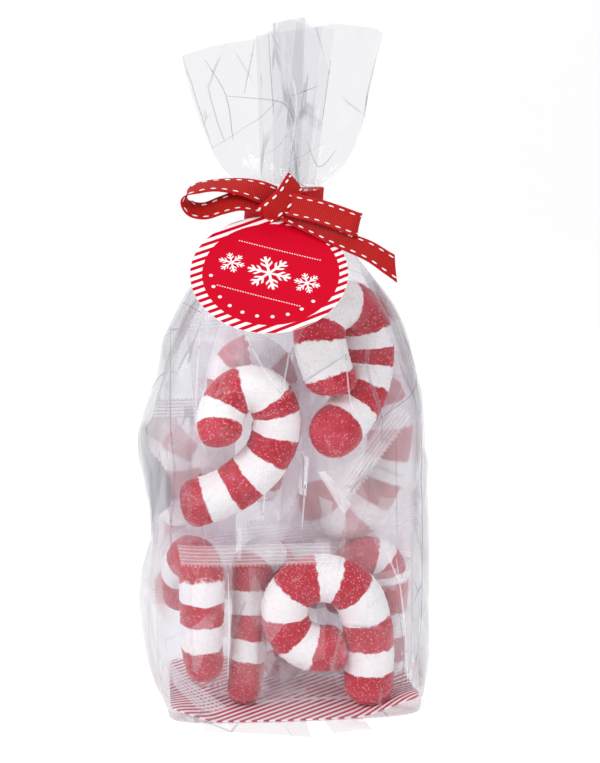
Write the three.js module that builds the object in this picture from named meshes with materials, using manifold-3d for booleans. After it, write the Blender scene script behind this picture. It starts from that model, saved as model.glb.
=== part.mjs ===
// Candy-cane marshmallows in a clear, tied gift bag.
// The bag is one closed solid: a filled block-bottom body with side gussets, sloping shoulders,
// a gathered neck and the flat, wavy fan of film above the bow. The bow is one ribbon, and the
// round gift tag leans on the front shoulder with its top edge under the knot.
// Millimetres, +Z up, front of the bag towards -Y, origin at the middle of the flat underside.
import * as THREE from "three";
import { mergeVertices } from "three/addons/utils/BufferGeometryUtils.js";
import Module from "manifold-3d";

// Bag.
const RING_POINTS = 64; // points round one level of the bag
const NECK_LOW = 213.5; // the gathered neck, between the shoulders and the fan
const NECK_HIGH = 229;
const FAN_THICKNESS = 4; // both layers of film in the fan, with the folded gussets between them
const FAN_WAVE = 4.5; // how far the fan's waves reach from its middle plane, at the top edge

// Levels of the body: height, left, right, front, back, squareness, left and right gusset push.
const LEVELS = [
  [0, -56.5, 56.5, -37, 37, 9, 0, 0],
  [1.5, -58, 58, -38.5, 38.5, 9, 0, 0],
  [25, -62, 61.5, -40, 40, 6, -1, 1],
  [50, -64, 61.5, -41, 41, 5.5, 0, 2],
  [80, -62, 60.5, -40.5, 40.5, 5.5, 6, 4],
  [112, -62.5, 60.5, -40.5, 40.5, 5, 0, 3],
  [131, -60.5, 59.5, -40, 40, 5, 1, 3],
  [147, -57, 56.5, -39, 38.5, 4.5, 4, 4],
  [163, -52.5, 52, -38, 36, 4, 6, 6],
  [180, -46, 43.5, -37.5, 31.5, 3.5, 7, 7],
  [192, -38, 35, -36, 26, 3, 5, 5],
  [200, -32, 29, -32, 21.5, 2.6, 3, 3],
  [207, -25.5, 22.5, -24.2, 15.5, 2.3, 1, 1],
  [NECK_LOW, -18.2, 13.4, -10.2, 10.2, 2, 0, 0],
  [NECK_HIGH, -18.2, 13.4, -10.2, 10.2, 2, 0, 0],
];
const RING_HEIGHTS = [
  0, 1.5, 12, 25, 38, 50, 65, 80, 91, 101, 112, 122, 131, 139, 147, 155, 163, 171, 179, 186, 192,
  197, 202, 206, 210, NECK_LOW, 221, NECK_HIGH,
];

// Fan: how far it reaches to the left and right at each share of its height, and its uneven top edge.
const FAN_SIDES = [
  [0, -18.2, 13.4],
  [0.06, -24.5, 19],
  [0.14, -29.5, 24],
  [0.25, -33.5, 28.6],
  [0.45, -38, 33.2],
  [0.65, -41.5, 35.5],
  [0.85, -44.5, 38],
  [1, -46, 40.6],
];
const FAN_TOP = [
  [-1, 283],
  [-0.7, 287],
  [-0.3, 290],
  [-0.06, 294],
  [0, 297.5],
  [0.2, 299.5],
  [0.27, 294.5],
  [0.5, 296.5],
  [0.9, 294.5],
  [1, 292],
];
const FAN_SHARES = [0.04, 0.09, 0.15, 0.22, 0.32, 0.45, 0.6, 0.8, 1];

// Ribbon.
const RIBBON_WIDTH = 10;
const RIBBON_THICKNESS = 0.8;
const BAND = { x: -2.4, z: 221, alongX: 17, alongY: 11.7, tilt: 0.09 };
const KNOT = { centre: [-5, -16.2, 223.2], half: [9.2, 5.4, 6.6], lean: 0.6 };

// Each stretch of ribbon: points of its middle line, then the direction across it there.
const LEFT_LOOP = [
  [-8, -15.5, 225, -0.3, -0.3, -0.9],
  [-14, -15.5, 227.6, -0.3, -0.5, -0.8],
  [-22, -15.5, 229.6, -0.1, -0.75, -0.6],
  [-32.6, -16, 230.3, 0, -0.92, -0.38],
  [-40.9, -17, 228.8, -0.1, -0.93, -0.35],
  [-44.6, -18, 225, -0.35, -0.85, -0.4],
  [-42.6, -18.5, 221, -0.2, -0.83, -0.52],
  [-36.9, -18.5, 220, 0, -0.8, -0.6],
  [-29.8, -18, 222.2, 0.1, -0.76, -0.64],
  [-22.2, -17, 224, 0.1, -0.65, -0.76],
  [-14.5, -16, 223, -0.1, -0.4, -0.9],
  [-8, -15, 222, -0.2, -0.2, -0.95],
];
const RIGHT_LOOP = [
  [-4, -19, 223, -0.3, 0, -0.95],
  [2.6, -22.4, 221.7, -0.3, 0, -0.95],
  [10.7, -26, 220, -0.28, -0.05, -0.96],
  [18.9, -29, 217.4, -0.26, -0.08, -0.96],
  [24.4, -30.4, 215.4, -0.24, -0.1, -0.97],
  [26.8, -28.6, 214.6, -0.22, -0.1, -0.97],
  [24, -25.6, 215, -0.22, -0.08, -0.97],
  [15.8, -21.5, 217.4, -0.25, 0, -0.96],
  [4, -17.5, 220.6, -0.25, 0, -0.96],
  [-3, -16, 222, -0.25, 0, -0.96],
];
const TAIL = [
  [-4, -16.5, 220.2, 0, -0.6, -0.8],
  [1, -19.5, 217, 0.1, -0.77, -0.63],
  [10.5, -24.6, 212.8, 0.1, -0.77, -0.63],
  [20.4, -30.4, 208.4, 0.08, -0.76, -0.64],
  [30.2, -33.8, 204.4, 0, -0.66, -0.75],
  [38, -35.6, 199.4, -0.05, -0.55, -0.83],
  [44, -36.4, 195.2, -0.1, -0.5, -0.86],
];

// Tag.
const TAG_RADIUS = 32.4;
const TAG_THICKNESS = 0.6;
const TAG_CENTRE = [-11.2, -40.7, 195.1];
const TAG_LEAN = 51; // degrees its face points above the horizontal
const TAG_TURN = -5; // degrees its face points to the left of straight ahead

const wasm = await Module();
wasm.setup();

const mix = (a, b, t) => a + (b - a) * t;
const smooth = (t) => {
  const c = Math.min(Math.max(t, 0), 1);
  return c * c * (3 - 2 * c);
};

// A row of a table at a value of its first column, curved between the rows or straight.
function rowAt(table, value, curved) {
  let i = 0;
  while (i < table.length - 2 && value > table[i + 1][0]) i++;
  const [a, b] = [table[i], table[i + 1]];
  const t = Math.min(Math.max((value - a[0]) / (b[0] - a[0]), 0), 1);
  if (!curved) return a.map((v, k) => mix(v, b[k], t));
  const [before, after] = [table[Math.max(i - 1, 0)], table[Math.min(i + 2, table.length - 1)]];
  const span = b[0] - a[0];
  return a.map((v, k) => {
    const inSlope = ((b[k] - before[k]) / (b[0] - before[0])) * span;
    const outSlope = ((after[k] - v) / (after[0] - a[0])) * span;
    const [t2, t3] = [t * t, t * t * t];
    return (
      v * (2 * t3 - 3 * t2 + 1) +
      inSlope * (t3 - 2 * t2 + t) +
      b[k] * (3 * t2 - 2 * t3) +
      outSlope * (t3 - t2)
    );
  });
}

// Where a point of a ring lies on a unit square, from the middle of the left side round the front.
function squarePoint(i) {
  const d = (8 * i) / RING_POINTS;
  if (d < 1) return [-1, -d];
  if (d < 3) return [d - 2, -1];
  if (d < 5) return [1, d - 4];
  if (d < 7) return [6 - d, 1];
  return [-1, 8 - d];
}

function bodyPoint(i, height) {
  const [, left, right, front, back, power, pushLeft, pushRight] = rowAt(LEVELS, height, true);
  const [px, py] = squarePoint(i);
  const norm = (Math.abs(px) ** power + Math.abs(py) ** power) ** (1 / power);
  const onSide = Math.abs(px) === 1 ? 1 - Math.abs(py) ** 1.5 : 0;
  const push = onSide * (px < 0 ? pushLeft : -pushRight);
  return [
    (left + right) / 2 + (px / norm) * ((right - left) / 2) + push,
    (front + back) / 2 + (py / norm) * ((back - front) / 2),
    height,
  ];
}

// Place along the fan, from -1 at its left edge to 1 at its right edge.
function fanPlace(i) {
  const half = RING_POINTS / 2;
  return (i <= half ? i : RING_POINTS - i) / (half / 2) - 1;
}

function fanWave(place, share) {
  const waves = 0.6 * Math.sin(2.2 * Math.PI * place + 0.6) + 0.4 * Math.sin(4.3 * Math.PI * place + 2);
  return FAN_WAVE * share ** 0.6 * waves;
}

function fanPoint(i, share) {
  const place = fanPlace(i);
  const [, left, right] = rowAt(FAN_SIDES, share, false);
  const front = i <= RING_POINTS / 2 ? -1 : 1;
  const half = (FAN_THICKNESS / 2) * Math.sqrt(Math.max(1 - place * place, 0));
  const top = rowAt(FAN_TOP, place, false)[1];
  const flat = [
    mix(left, right, (place + 1) / 2),
    fanWave(place, share) + front * half,
    mix(NECK_HIGH, top, share),
  ];
  const round = bodyPoint(i, NECK_HIGH);
  const open = smooth(share / 0.3);
  return [flat[0], mix(round[1], flat[1], open), flat[2]];
}

function solidFromTriangles(vertices, triangles) {
  return new wasm.Manifold(
    new wasm.Mesh({
      numProp: 3,
      vertProperties: new Float32Array(vertices.flat()),
      triVerts: new Uint32Array(triangles.flat()),
    }),
  );
}

// Triangles between rings of equal size, each ring anticlockwise seen from the end of the stack.
function wallTriangles(rings, points, closed) {
  const triangles = [];
  for (let j = 0; j < (closed ? rings : rings - 1); j++)
    for (let i = 0; i < points; i++) {
      const [low, high] = [j * points, ((j + 1) % rings) * points];
      const next = (i + 1) % points;
      triangles.push([low + i, low + next, high + next], [low + i, high + next, high + i]);
    }
  return triangles;
}

function makeBag() {
  const rings = RING_HEIGHTS.map((h) =>
    Array.from({ length: RING_POINTS }, (_, i) => bodyPoint(i, h)),
  );
  for (const share of FAN_SHARES)
    rings.push(Array.from({ length: RING_POINTS }, (_, i) => fanPoint(i, share)));
  const vertices = rings.flat();
  const triangles = wallTriangles(rings.length, RING_POINTS, false);
  const middle = vertices.length;
  vertices.push([0, 0, 0]);
  for (let i = 0; i < RING_POINTS; i++) triangles.push([middle, (i + 1) % RING_POINTS, i]);
  const top = (rings.length - 1) * RING_POINTS;
  for (let i = 0; i < RING_POINTS / 2; i++) {
    const [a, b] = [top + i, top + i + 1];
    const [c, d] = [top + RING_POINTS - i - 1, top + ((RING_POINTS - i) % RING_POINTS)];
    if (b !== c) triangles.push([a, b, c]);
    if (a !== d) triangles.push([a, c, d]);
  }
  return solidFromTriangles(vertices, triangles);
}

// A flat strip of ribbon along a smooth line.
function makeStrip(stations, steps) {
  const line = new THREE.CatmullRomCurve3(stations.map((s) => new THREE.Vector3(...s)));
  const across = new THREE.CatmullRomCurve3(
    stations.map((s) => new THREE.Vector3(s[3], s[4], s[5])),
  );
  const vertices = [];
  for (let k = 0; k <= steps; k++) {
    const t = k / steps;
    const middle = line.getPoint(t);
    const along = line.getTangent(t);
    const side = across.getPoint(t);
    side.addScaledVector(along, -side.dot(along)).normalize();
    const face = new THREE.Vector3().crossVectors(side, along);
    for (const [u, v] of [[-1, -1], [1, -1], [1, 1], [-1, 1]])
      vertices.push(
        middle
          .clone()
          .addScaledVector(side, (u * RIBBON_WIDTH) / 2)
          .addScaledVector(face, (-v * RIBBON_THICKNESS) / 2)
          .toArray(),
      );
  }
  const last = steps * 4;
  const triangles = wallTriangles(steps + 1, 4, false);
  triangles.push([0, 3, 2], [0, 2, 1], [last, last + 1, last + 2], [last, last + 2, last + 3]);
  const made = solidFromTriangles(vertices, triangles);
  if (made.volume() > 0) return made;
  return solidFromTriangles(vertices, triangles.map(([a, b, c]) => [a, c, b]));
}

// The ribbon's turn round the neck.
function makeBand() {
  const steps = 40;
  const vertices = [];
  for (let k = 0; k < steps; k++) {
    const angle = (2 * Math.PI * k) / steps;
    for (const [out, up] of [[-1, -1], [1, -1], [1, 1], [-1, 1]]) {
      const x = (BAND.alongX + (out * RIBBON_THICKNESS) / 2) * Math.cos(angle);
      const y = (BAND.alongY + (out * RIBBON_THICKNESS) / 2) * Math.sin(angle);
      vertices.push([BAND.x + x, y, BAND.z + BAND.tilt * x + (up * RIBBON_WIDTH) / 2]);
    }
  }
  const triangles = wallTriangles(steps, 4, true);
  const made = solidFromTriangles(vertices, triangles);
  if (made.volume() > 0) return made;
  return solidFromTriangles(vertices, triangles.map(([a, b, c]) => [a, c, b]));
}

function solidFromGeometry(geometry) {
  geometry.deleteAttribute("normal");
  geometry.deleteAttribute("uv");
  const merged = mergeVertices(geometry, 1e-4);
  return new wasm.Manifold(
    new wasm.Mesh({
      numProp: 3,
      vertProperties: merged.attributes.position.array,
      triVerts: new Uint32Array(merged.index.array),
    }),
  );
}

function makeKnot() {
  const geometry = new THREE.SphereGeometry(1, 20, 12);
  geometry.scale(...KNOT.half);
  geometry.rotateY(KNOT.lean);
  geometry.translate(...KNOT.centre);
  return solidFromGeometry(geometry);
}

function makeRibbon() {
  return makeBand()
    .add(makeKnot())
    .add(makeStrip(LEFT_LOOP, 44))
    .add(makeStrip(RIGHT_LOOP, 40))
    .add(makeStrip(TAIL, 22));
}

function meshOf(name, solid, colour, roughness) {
  const { vertProperties, triVerts } = solid.getMesh();
  const geometry = new THREE.BufferGeometry();
  geometry.setAttribute("position", new THREE.BufferAttribute(vertProperties, 3));
  geometry.setIndex(new THREE.BufferAttribute(triVerts, 1));
  geometry.computeVertexNormals();
  const mesh = new THREE.Mesh(
    geometry,
    new THREE.MeshStandardMaterial({ color: colour, roughness, metalness: 0 }),
  );
  mesh.name = name;
  return mesh;
}

function tagMesh() {
  const disc = new THREE.CylinderGeometry(TAG_RADIUS, TAG_RADIUS, TAG_THICKNESS, 64);
  disc.rotateX(Math.PI / 2);
  const mesh = meshOf("tag", solidFromGeometry(disc), 0xd8102c, 0.45);
  const [lean, turn] = [THREE.MathUtils.degToRad(TAG_LEAN), THREE.MathUtils.degToRad(TAG_TURN)];
  const face = new THREE.Vector3(
    Math.sin(turn) * Math.cos(lean),
    -Math.cos(turn) * Math.cos(lean),
    Math.sin(lean),
  );
  mesh.quaternion.setFromUnitVectors(new THREE.Vector3(0, 0, 1), face);
  mesh.position.set(...TAG_CENTRE);
  return mesh;
}

const group = new THREE.Group();
group.add(meshOf("bag", makeBag(), 0xe8e4e8, 0.15));
group.add(meshOf("ribbon", makeRibbon(), 0xc42a30, 0.7));
group.add(tagMesh());

export default group;
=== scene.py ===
"""Candy-cane marshmallows in a clear gusseted gift bag, tied with a saddle-stitched ribbon and a round tag.

Lengths in the tables are millimetres and are turned to metres once, when a mesh is made. +Z is up and the
front of the bag faces -Y, as in the frame.
"""
import math

import bpy
import numpy as np
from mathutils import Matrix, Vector, geometry


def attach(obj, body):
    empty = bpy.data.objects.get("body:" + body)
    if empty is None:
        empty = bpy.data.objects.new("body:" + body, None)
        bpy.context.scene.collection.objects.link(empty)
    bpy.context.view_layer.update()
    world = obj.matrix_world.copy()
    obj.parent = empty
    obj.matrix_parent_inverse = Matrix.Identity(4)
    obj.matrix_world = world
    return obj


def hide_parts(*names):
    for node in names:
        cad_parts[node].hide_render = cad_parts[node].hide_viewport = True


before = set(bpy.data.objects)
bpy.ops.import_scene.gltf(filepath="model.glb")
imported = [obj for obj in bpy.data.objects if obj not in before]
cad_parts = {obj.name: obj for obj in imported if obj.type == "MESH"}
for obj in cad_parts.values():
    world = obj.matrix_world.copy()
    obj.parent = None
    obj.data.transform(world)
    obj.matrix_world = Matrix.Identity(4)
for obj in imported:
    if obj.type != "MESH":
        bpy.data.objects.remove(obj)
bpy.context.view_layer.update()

MM = 0.001
scene = bpy.context.scene


# Camera, lights and floor

def aim(thing, target):
    thing.rotation_euler = (Vector(target) - thing.location).to_track_quat("-Z", "Y").to_euler()


CAMERA_LENS, CAMERA_TARGET = 102.4, (0.0045, 0.0, 0.1425)
CAMERA_TURN, CAMERA_RISE, CAMERA_REACH = math.radians(-5.0), math.radians(12.0), 0.75


def make_camera():
    data = bpy.data.cameras.new("camera")
    data.sensor_fit = "HORIZONTAL"
    data.sensor_width = 36.0
    data.lens = CAMERA_LENS
    camera = bpy.data.objects.new("camera", data)
    scene.collection.objects.link(camera)
    level = math.cos(CAMERA_RISE)
    back = Vector((math.sin(CAMERA_TURN) * level, -math.cos(CAMERA_TURN) * level, math.sin(CAMERA_RISE)))
    camera.location = Vector(CAMERA_TARGET) + back * CAMERA_REACH
    aim(camera, CAMERA_TARGET)
    scene.camera = camera


def soft_light(name, place, target, size, power, mirrored):
    """A rectangular lamp. One that isn't mirrored makes no highlights on the film."""
    data = bpy.data.lights.new(name, "AREA")
    data.shape = "RECTANGLE"
    data.size, data.size_y = size
    data.energy = power
    light = bpy.data.objects.new(name, data)
    scene.collection.objects.link(light)
    light.location = place
    aim(light, target)
    light.visible_camera = False
    light.visible_glossy = mirrored


make_camera()
scene.view_settings.view_transform = "Standard"
scene.cycles.transparent_max_bounces = 32
scene.cycles.use_denoising = True


# Node expressions

class Value:
    """A socket that can be used in a Python expression. Each operation adds its Math node."""

    def __init__(self, nodes, socket):
        self.nodes, self.socket = nodes, socket

    def math(self, operation, *others):
        return self.nodes.math(operation, self, *others)

    def __add__(self, other):
        return self.math("ADD", other)

    def __sub__(self, other):
        return self.math("SUBTRACT", other)

    def __rsub__(self, other):
        return self.nodes.math("SUBTRACT", other, self)

    def __mul__(self, other):
        return self.math("MULTIPLY", other)

    def __truediv__(self, other):
        return self.math("DIVIDE", other)

    def __pow__(self, other):
        return self.math("POWER", other)

    __radd__ = __add__
    __rmul__ = __mul__

    def sin(self):
        return self.math("SINE")

    def cos(self):
        return self.math("COSINE")

    def abs(self):
        return self.math("ABSOLUTE")

    def fract(self):
        return self.math("FRACT")

    def least(self, other):
        return self.math("MINIMUM", other)

    def most(self, other):
        return self.math("MAXIMUM", other)

    def clamp(self):
        return self.most(0.0).least(1.0)

    def over(self, other):
        return self.math("GREATER_THAN", other)

    def step(self, low, high):
        """0 below low, 1 above high, smooth between."""
        node = self.nodes.add("ShaderNodeMapRange", {"interpolation_type": "SMOOTHSTEP"},
                              {"Value": self, "From Min": low, "From Max": high})
        return Value(self.nodes, node.outputs["Result"])


class Nodes:
    """A material's or a geometry's node tree, with one method that adds any node."""

    def __init__(self, tree):
        self.tree = tree

    def add(self, kind, settings=None, inputs=None):
        node = self.tree.nodes.new(kind)
        for name, value in (settings or {}).items():
            setattr(node, name, value)
        for key, value in (inputs or {}).items():
            socket = node.inputs[key] if isinstance(key, int) else self.socket(node, key)
            if isinstance(value, Value):
                value = value.socket
            if isinstance(value, bpy.types.NodeSocket):
                self.tree.links.new(value, socket)
            else:
                socket.default_value = value
        return node

    @staticmethod
    def socket(node, key):
        """The input of that identifier or name which the node's settings leave switched on."""
        for found in node.inputs:
            if found.identifier == key:
                return found
        return next(s for s in node.inputs if s.name == key and s.enabled)

    def get(self, kind, output=0, settings=None, inputs=None):
        return Value(self, self.add(kind, settings, inputs).outputs[output])

    def math(self, operation, *values):
        return self.get("ShaderNodeMath", 0, {"operation": operation}, dict(enumerate(values)))

    def attribute(self, name):
        return self.get("ShaderNodeAttribute", "Fac", {"attribute_name": name})

    def place(self):
        return self.get("ShaderNodeTexCoord", "Object")

    def noise(self, vector, scale, detail=2.0, roughness=0.5):
        return self.get("ShaderNodeTexNoise", "Fac", None,
                        {"Vector": vector, "Scale": scale, "Detail": detail, "Roughness": roughness})

    def cells(self, vector, scale):
        return self.get("ShaderNodeTexVoronoi", "Distance", {"feature": "F1"},
                        {"Vector": vector, "Scale": scale})

    def parts(self, vector):
        node = self.add("ShaderNodeSeparateXYZ", None, {0: vector})
        return [Value(self, output) for output in node.outputs]

    def colour(self, factor, low, high):
        """A colour between two, by a factor."""
        return self.get("ShaderNodeMix", 2, {"data_type": "RGBA"},
                        {"Factor_Float": factor, "A_Color": low, "B_Color": high})

    def bump(self, height, strength, distance):
        return self.get("ShaderNodeBump", 0, None,
                        {"Height": height, "Strength": strength, "Distance": distance})


def srgb(red, green, blue):
    """A colour as the eye names it, 0 to 255, in the linear values that the sockets take."""
    parts = [c / 255 for c in (red, green, blue)]
    return tuple(c / 12.92 if c <= 10 / 255 else ((c + 0.055) / 1.055) ** 2.4 for c in parts) + (1.0,)


def new_material(name):
    material = bpy.data.materials.new(name)
    material.use_nodes = True
    material.node_tree.nodes.clear()
    nodes = Nodes(material.node_tree)
    return material, nodes, nodes.add("ShaderNodeOutputMaterial")


def show(nodes, output, shader):
    nodes.tree.links.new(shader.outputs[0], output.inputs["Surface"])


# Materials

def stripe_mask(nodes, edge):
    """1 in a cane's red stripes, which run across the rope and have an uneven edge, soft over edge."""
    place = nodes.place()
    wander = (nodes.noise(place, 240.0, 3.0) - 0.5) * 2.2 + (nodes.noise(place, 1500.0, 2.0) - 0.5) * 0.9
    band = nodes.attribute("band") + wander * 0.11
    wave = ((band * 0.5 - 0.25).fract() - 0.5).abs() * 4.0 - 1.0
    return wave.step(-edge, edge)


def marshmallow_material():
    material, nodes, output = new_material("marshmallow")
    place = nodes.place()
    red = stripe_mask(nodes, 0.07)
    dust_and_painted_light = nodes.noise(place, 900.0, 4.0, 0.7)
    patches = nodes.noise(place, 90.0, 2.0)
    frost = (dust_and_painted_light.step(0.48, 0.72) * 0.5 + patches.step(0.4, 0.7) * 0.35).clamp()
    reds = nodes.colour(frost, srgb(184, 0, 34), srgb(222, 74, 98))
    whites = nodes.colour(dust_and_painted_light, srgb(247, 243, 242), srgb(255, 253, 252))
    colour = nodes.colour(red, whites, reds)
    grain = nodes.cells(place, 1300.0)
    shader = nodes.add("ShaderNodeBsdfPrincipled", None, {
        "Base Color": colour, "Roughness": dust_and_painted_light * 0.25 + 0.6,
        "Subsurface Weight": 0.12, "Subsurface Scale": 0.004, "Sheen Weight": 0.15,
        "Normal": nodes.bump(grain, 0.55, 0.00035)})
    show(nodes, output, shader)
    return material


def sugar_material():
    material, nodes, output = new_material("sugar_crystals")
    red = stripe_mask(nodes, 0.12)
    colour = nodes.colour(red, srgb(255, 253, 252), srgb(242, 134, 152))
    shader = nodes.add("ShaderNodeBsdfPrincipled", None, {
        "Base Color": colour, "Roughness": 0.16, "Specular IOR Level": 0.8, "Subsurface Weight": 0.3,
        "Subsurface Scale": 0.001})
    show(nodes, output, shader)
    return material


def film_material(name, haze, patchy, size, crease, stretch, lit, dark, clearness):
    """Clear film: see-through, glossier where seen edgeways, with straight-edged facets and crease lines.
    Light and
    shade are painted on it: pale facets and patches as painted reflections, pale sharp bends as painted
    highlights, and grey crease lines and grey edges, where it is seen edgeways, as painted shade.

    haze clouds all of it and patchy paints its facets pale as reflections; size scales the facets, stretch
    draws them out, and crease is the strength of the painted shade lines; lit and dark are the colours of
    haze and of the painted shade in lines and edges, and in the grey film lit is painted shade too; clearness
    is what light passes.
    """
    material, nodes, output = new_material(name)
    spot = nodes.get("ShaderNodeUVMap", 0, {"uv_map": "film"})
    bumped = nodes.bump(nodes.noise(spot, 24.0 * size, 1.0) * 0.0035, 0.8, 1.0)
    facing = nodes.get("ShaderNodeLayerWeight", "Facing", None, {"Blend": 0.5, "Normal": bumped})
    fold, dust_and_painted_light = nodes.attribute("fold"), nodes.attribute("dust_and_painted_light")
    facet = 1.0
    # Random tones of the facets, over which the film is painted pale as reflections of the lamps.
    for scale, turn, low in ((66.0, -0.35, 0.2), (40.0, 0.5, 0.35)):
        turned = nodes.get("ShaderNodeMapping", 0, None, {
            "Vector": spot, "Rotation": (0, 0, turn * stretch * 2), "Scale": (1.0, stretch, 1.0)})
        settings = {"voronoi_dimensions": "2D", "feature": "F1"}
        inputs = {"Vector": turned, "Scale": scale * size}
        tone = nodes.parts(nodes.get("ShaderNodeTexVoronoi", "Color", settings, inputs))[0]
        facet = tone.step(low, 1.0) * facet
    edge = nodes.get("ShaderNodeTexVoronoi", "Distance", {**settings, "feature": "DISTANCE_TO_EDGE"}, inputs)
    # Crease lines, painted grey as shade.
    shown = nodes.noise(spot, 30.0 * size, 1.0).step(0.5, 0.62)
    lines = (1.0 - edge.step(0.0002 * scale * size, 0.0006 * scale * size)) * shown
    # Where the film is seen edgeways it is covered more and painted grey, as shade.
    edgeways = facing ** 3.0
    # The cover mixes a little real haze with painted light: pale facets and patches as painted reflections,
    # pale sharp bends as painted highlights, grey edges and lines as painted shade.
    haze_and_painted_cover = haze + facet * patchy + dust_and_painted_light * (facet * 0.35 + 0.8)
    cover = (haze_and_painted_cover + edgeways * 0.38 + fold * 0.45 + lines * crease).clamp()
    body = nodes.add("ShaderNodeBsdfPrincipled", None, {
        "Base Color": nodes.colour((edgeways + lines * (1.0 - fold)).clamp(), lit, dark),
        "Roughness": 0.5, "Specular IOR Level": 0.2, "Normal": bumped})
    tint = (clearness, clearness - 0.003, clearness + 0.008, 1.0)
    clear = nodes.add("ShaderNodeBsdfTransparent", None, {"Color": tint})
    mirror = nodes.add("ShaderNodeBsdfPrincipled", None, {
        "Base Color": (0.97, 0.97, 0.98, 1.0), "Metallic": 1.0, "Roughness": 0.09, "Normal": bumped})
    dull = nodes.add("ShaderNodeMixShader", None, {0: cover, 1: clear.outputs[0], 2: body.outputs[0]})
    glint = (facing ** 3.2 * 0.75 + 0.012).clamp()
    mixed = nodes.add("ShaderNodeMixShader", None, {0: glint, 1: dull.outputs[0], 2: mirror.outputs[0]})
    show(nodes, output, mixed)
    return material


def ribbon_material():
    material, nodes, output = new_material("red_ribbon")
    place = nodes.place()
    rib = nodes.attribute("rib")
    weave = nodes.noise(place, 2600.0, 2.0)
    shade = nodes.noise(place, 120.0, 2.0)
    light = nodes.colour(weave, srgb(194, 6, 28), srgb(206, 52, 38))
    # The grooves between the ribs are painted darker red: painted shade.
    colour = nodes.colour((1.0 - rib) * 0.75, light, srgb(126, 2, 14))
    edge = nodes.attribute("edge")
    colour = nodes.colour(edge, colour, srgb(190, 6, 26))
    shader = nodes.add("ShaderNodeBsdfPrincipled", None, {
        "Base Color": colour, "Roughness": shade * 0.2 + 0.45, "Specular IOR Level": 0.16,
        "Normal": nodes.bump(weave, 0.3, 0.0001)})
    show(nodes, output, shader)
    return material


def thread_material():
    material, nodes, output = new_material("white_thread")
    place = nodes.place()
    twist = nodes.noise(place, 3000.0, 2.0)
    shader = nodes.add("ShaderNodeBsdfPrincipled", None, {
        "Base Color": nodes.colour(twist, srgb(236, 228, 224), srgb(255, 250, 248)), "Roughness": 0.7,
        "Normal": nodes.bump(twist, 0.4, 0.0001)})
    show(nodes, output, shader)
    return material


CARD_SLANT, CARD_PITCH = 1.28, 5.4


def card_material():
    """White card printed with fine slanting stripes."""
    material, nodes, output = new_material("striped_card")
    x, y, _ = nodes.parts(nodes.place())
    stripes = ((x - y * CARD_SLANT) / (CARD_PITCH * MM)).fract()
    mask = (stripes - 0.5).abs().step(0.24, 0.27)
    tooth = nodes.noise(nodes.place(), 900.0, 3.0)
    shader = nodes.add("ShaderNodeBsdfPrincipled", None, {
        "Base Color": nodes.colour(mask, srgb(246, 236, 241), srgb(182, 30, 60)),
        "Roughness": tooth * 0.2 + 0.4, "Normal": nodes.bump(tooth, 0.15, 0.0001)})
    show(nodes, output, shader)
    return material


MARSHMALLOW = marshmallow_material()
SUGAR = sugar_material()
# PALE is the films' haze colour and the colour of their painted reflections and highlights. The two greys are
# painted shade in crease lines, at edges and over the folded gussets, and so is the sachets' light line
# colour.
PALE, LINE_SHADE_GREY, FOLD_SHADE_GREY = srgb(242, 239, 242), srgb(138, 136, 146), srgb(118, 117, 124)
BAG_FILM = film_material("bag_film", 0.006, 0.06, 1.0, 0.34, 0.5, PALE, LINE_SHADE_GREY, 0.95)
GREY_SHADE_FILM = film_material("grey_shade_film", 0.0, 0.05, 1.4, 0.4, 0.14, FOLD_SHADE_GREY, LINE_SHADE_GREY, 0.96)
SACHET_FILM = film_material("sachet_film", 0.004, 0.18, 1.6, 0.07, 0.5, PALE, srgb(214, 210, 218), 0.968)
RIBBON = ribbon_material()
THREAD = thread_material()
CARD = card_material()


# Mesh helpers

def link_mesh(name, vertices, faces, material, smooth=True):
    """A new object at the origin, with its place in its mesh. Vertices are in millimetres."""
    mesh = bpy.data.meshes.new(name)
    mesh.from_pydata((np.asarray(vertices, float) * MM).tolist(), [], [tuple(map(int, f)) for f in faces])
    mesh.materials.append(material)
    mesh.polygons.foreach_set("use_smooth", [smooth] * len(mesh.polygons))
    mesh.update()
    piece = bpy.data.objects.new(name, mesh)
    scene.collection.objects.link(piece)
    return piece


def set_values(piece, name, values):
    """Stores one number for each vertex, for the materials to read."""
    layer = piece.data.attributes.new(name, "FLOAT", "POINT")
    layer.data.foreach_set("value", np.asarray(values, np.float32).ravel())


def grid_faces(rows, columns, ring, first=0):
    """Quads between the rows of a grid. A ring's last column meets its first."""
    j, i = np.meshgrid(np.arange(rows - 1), np.arange(columns if ring else columns - 1), indexing="ij")
    after = (i + 1) % columns
    low, high = j * columns, (j + 1) * columns
    quads = np.stack([low + i, low + after, high + after, high + i], -1)
    return (quads.reshape(-1, 4) + first).tolist()


def smooth_line(points, count):
    """A smooth curve through points, as count even rows, and the run to each. A radius is carried along."""
    points = np.asarray(points, float)
    padded = np.vstack([2 * points[0] - points[1], points, 2 * points[-1] - points[-2]])
    fine = []
    for k in range(len(points) - 1):
        a, b, c, d = padded[k:k + 4]
        t = np.linspace(0, 1, 24, endpoint=False)[:, None]
        square, cube = 2 * a - 5 * b + 4 * c - d, 3 * b - a - 3 * c + d
        fine.append(0.5 * (2 * b + (c - a) * t + square * t ** 2 + cube * t ** 3))
    fine = np.vstack(fine + [points[-1:]])
    run = np.concatenate([[0], np.cumsum(np.linalg.norm(np.diff(fine[:, :3], axis=0), axis=1))])
    even = np.linspace(0, run[-1], count)
    return np.stack([np.interp(even, run, fine[:, k]) for k in range(fine.shape[1])], 1), even


def unit(vectors):
    return vectors / np.maximum(np.linalg.norm(vectors, axis=-1, keepdims=True), 1e-9)


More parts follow.
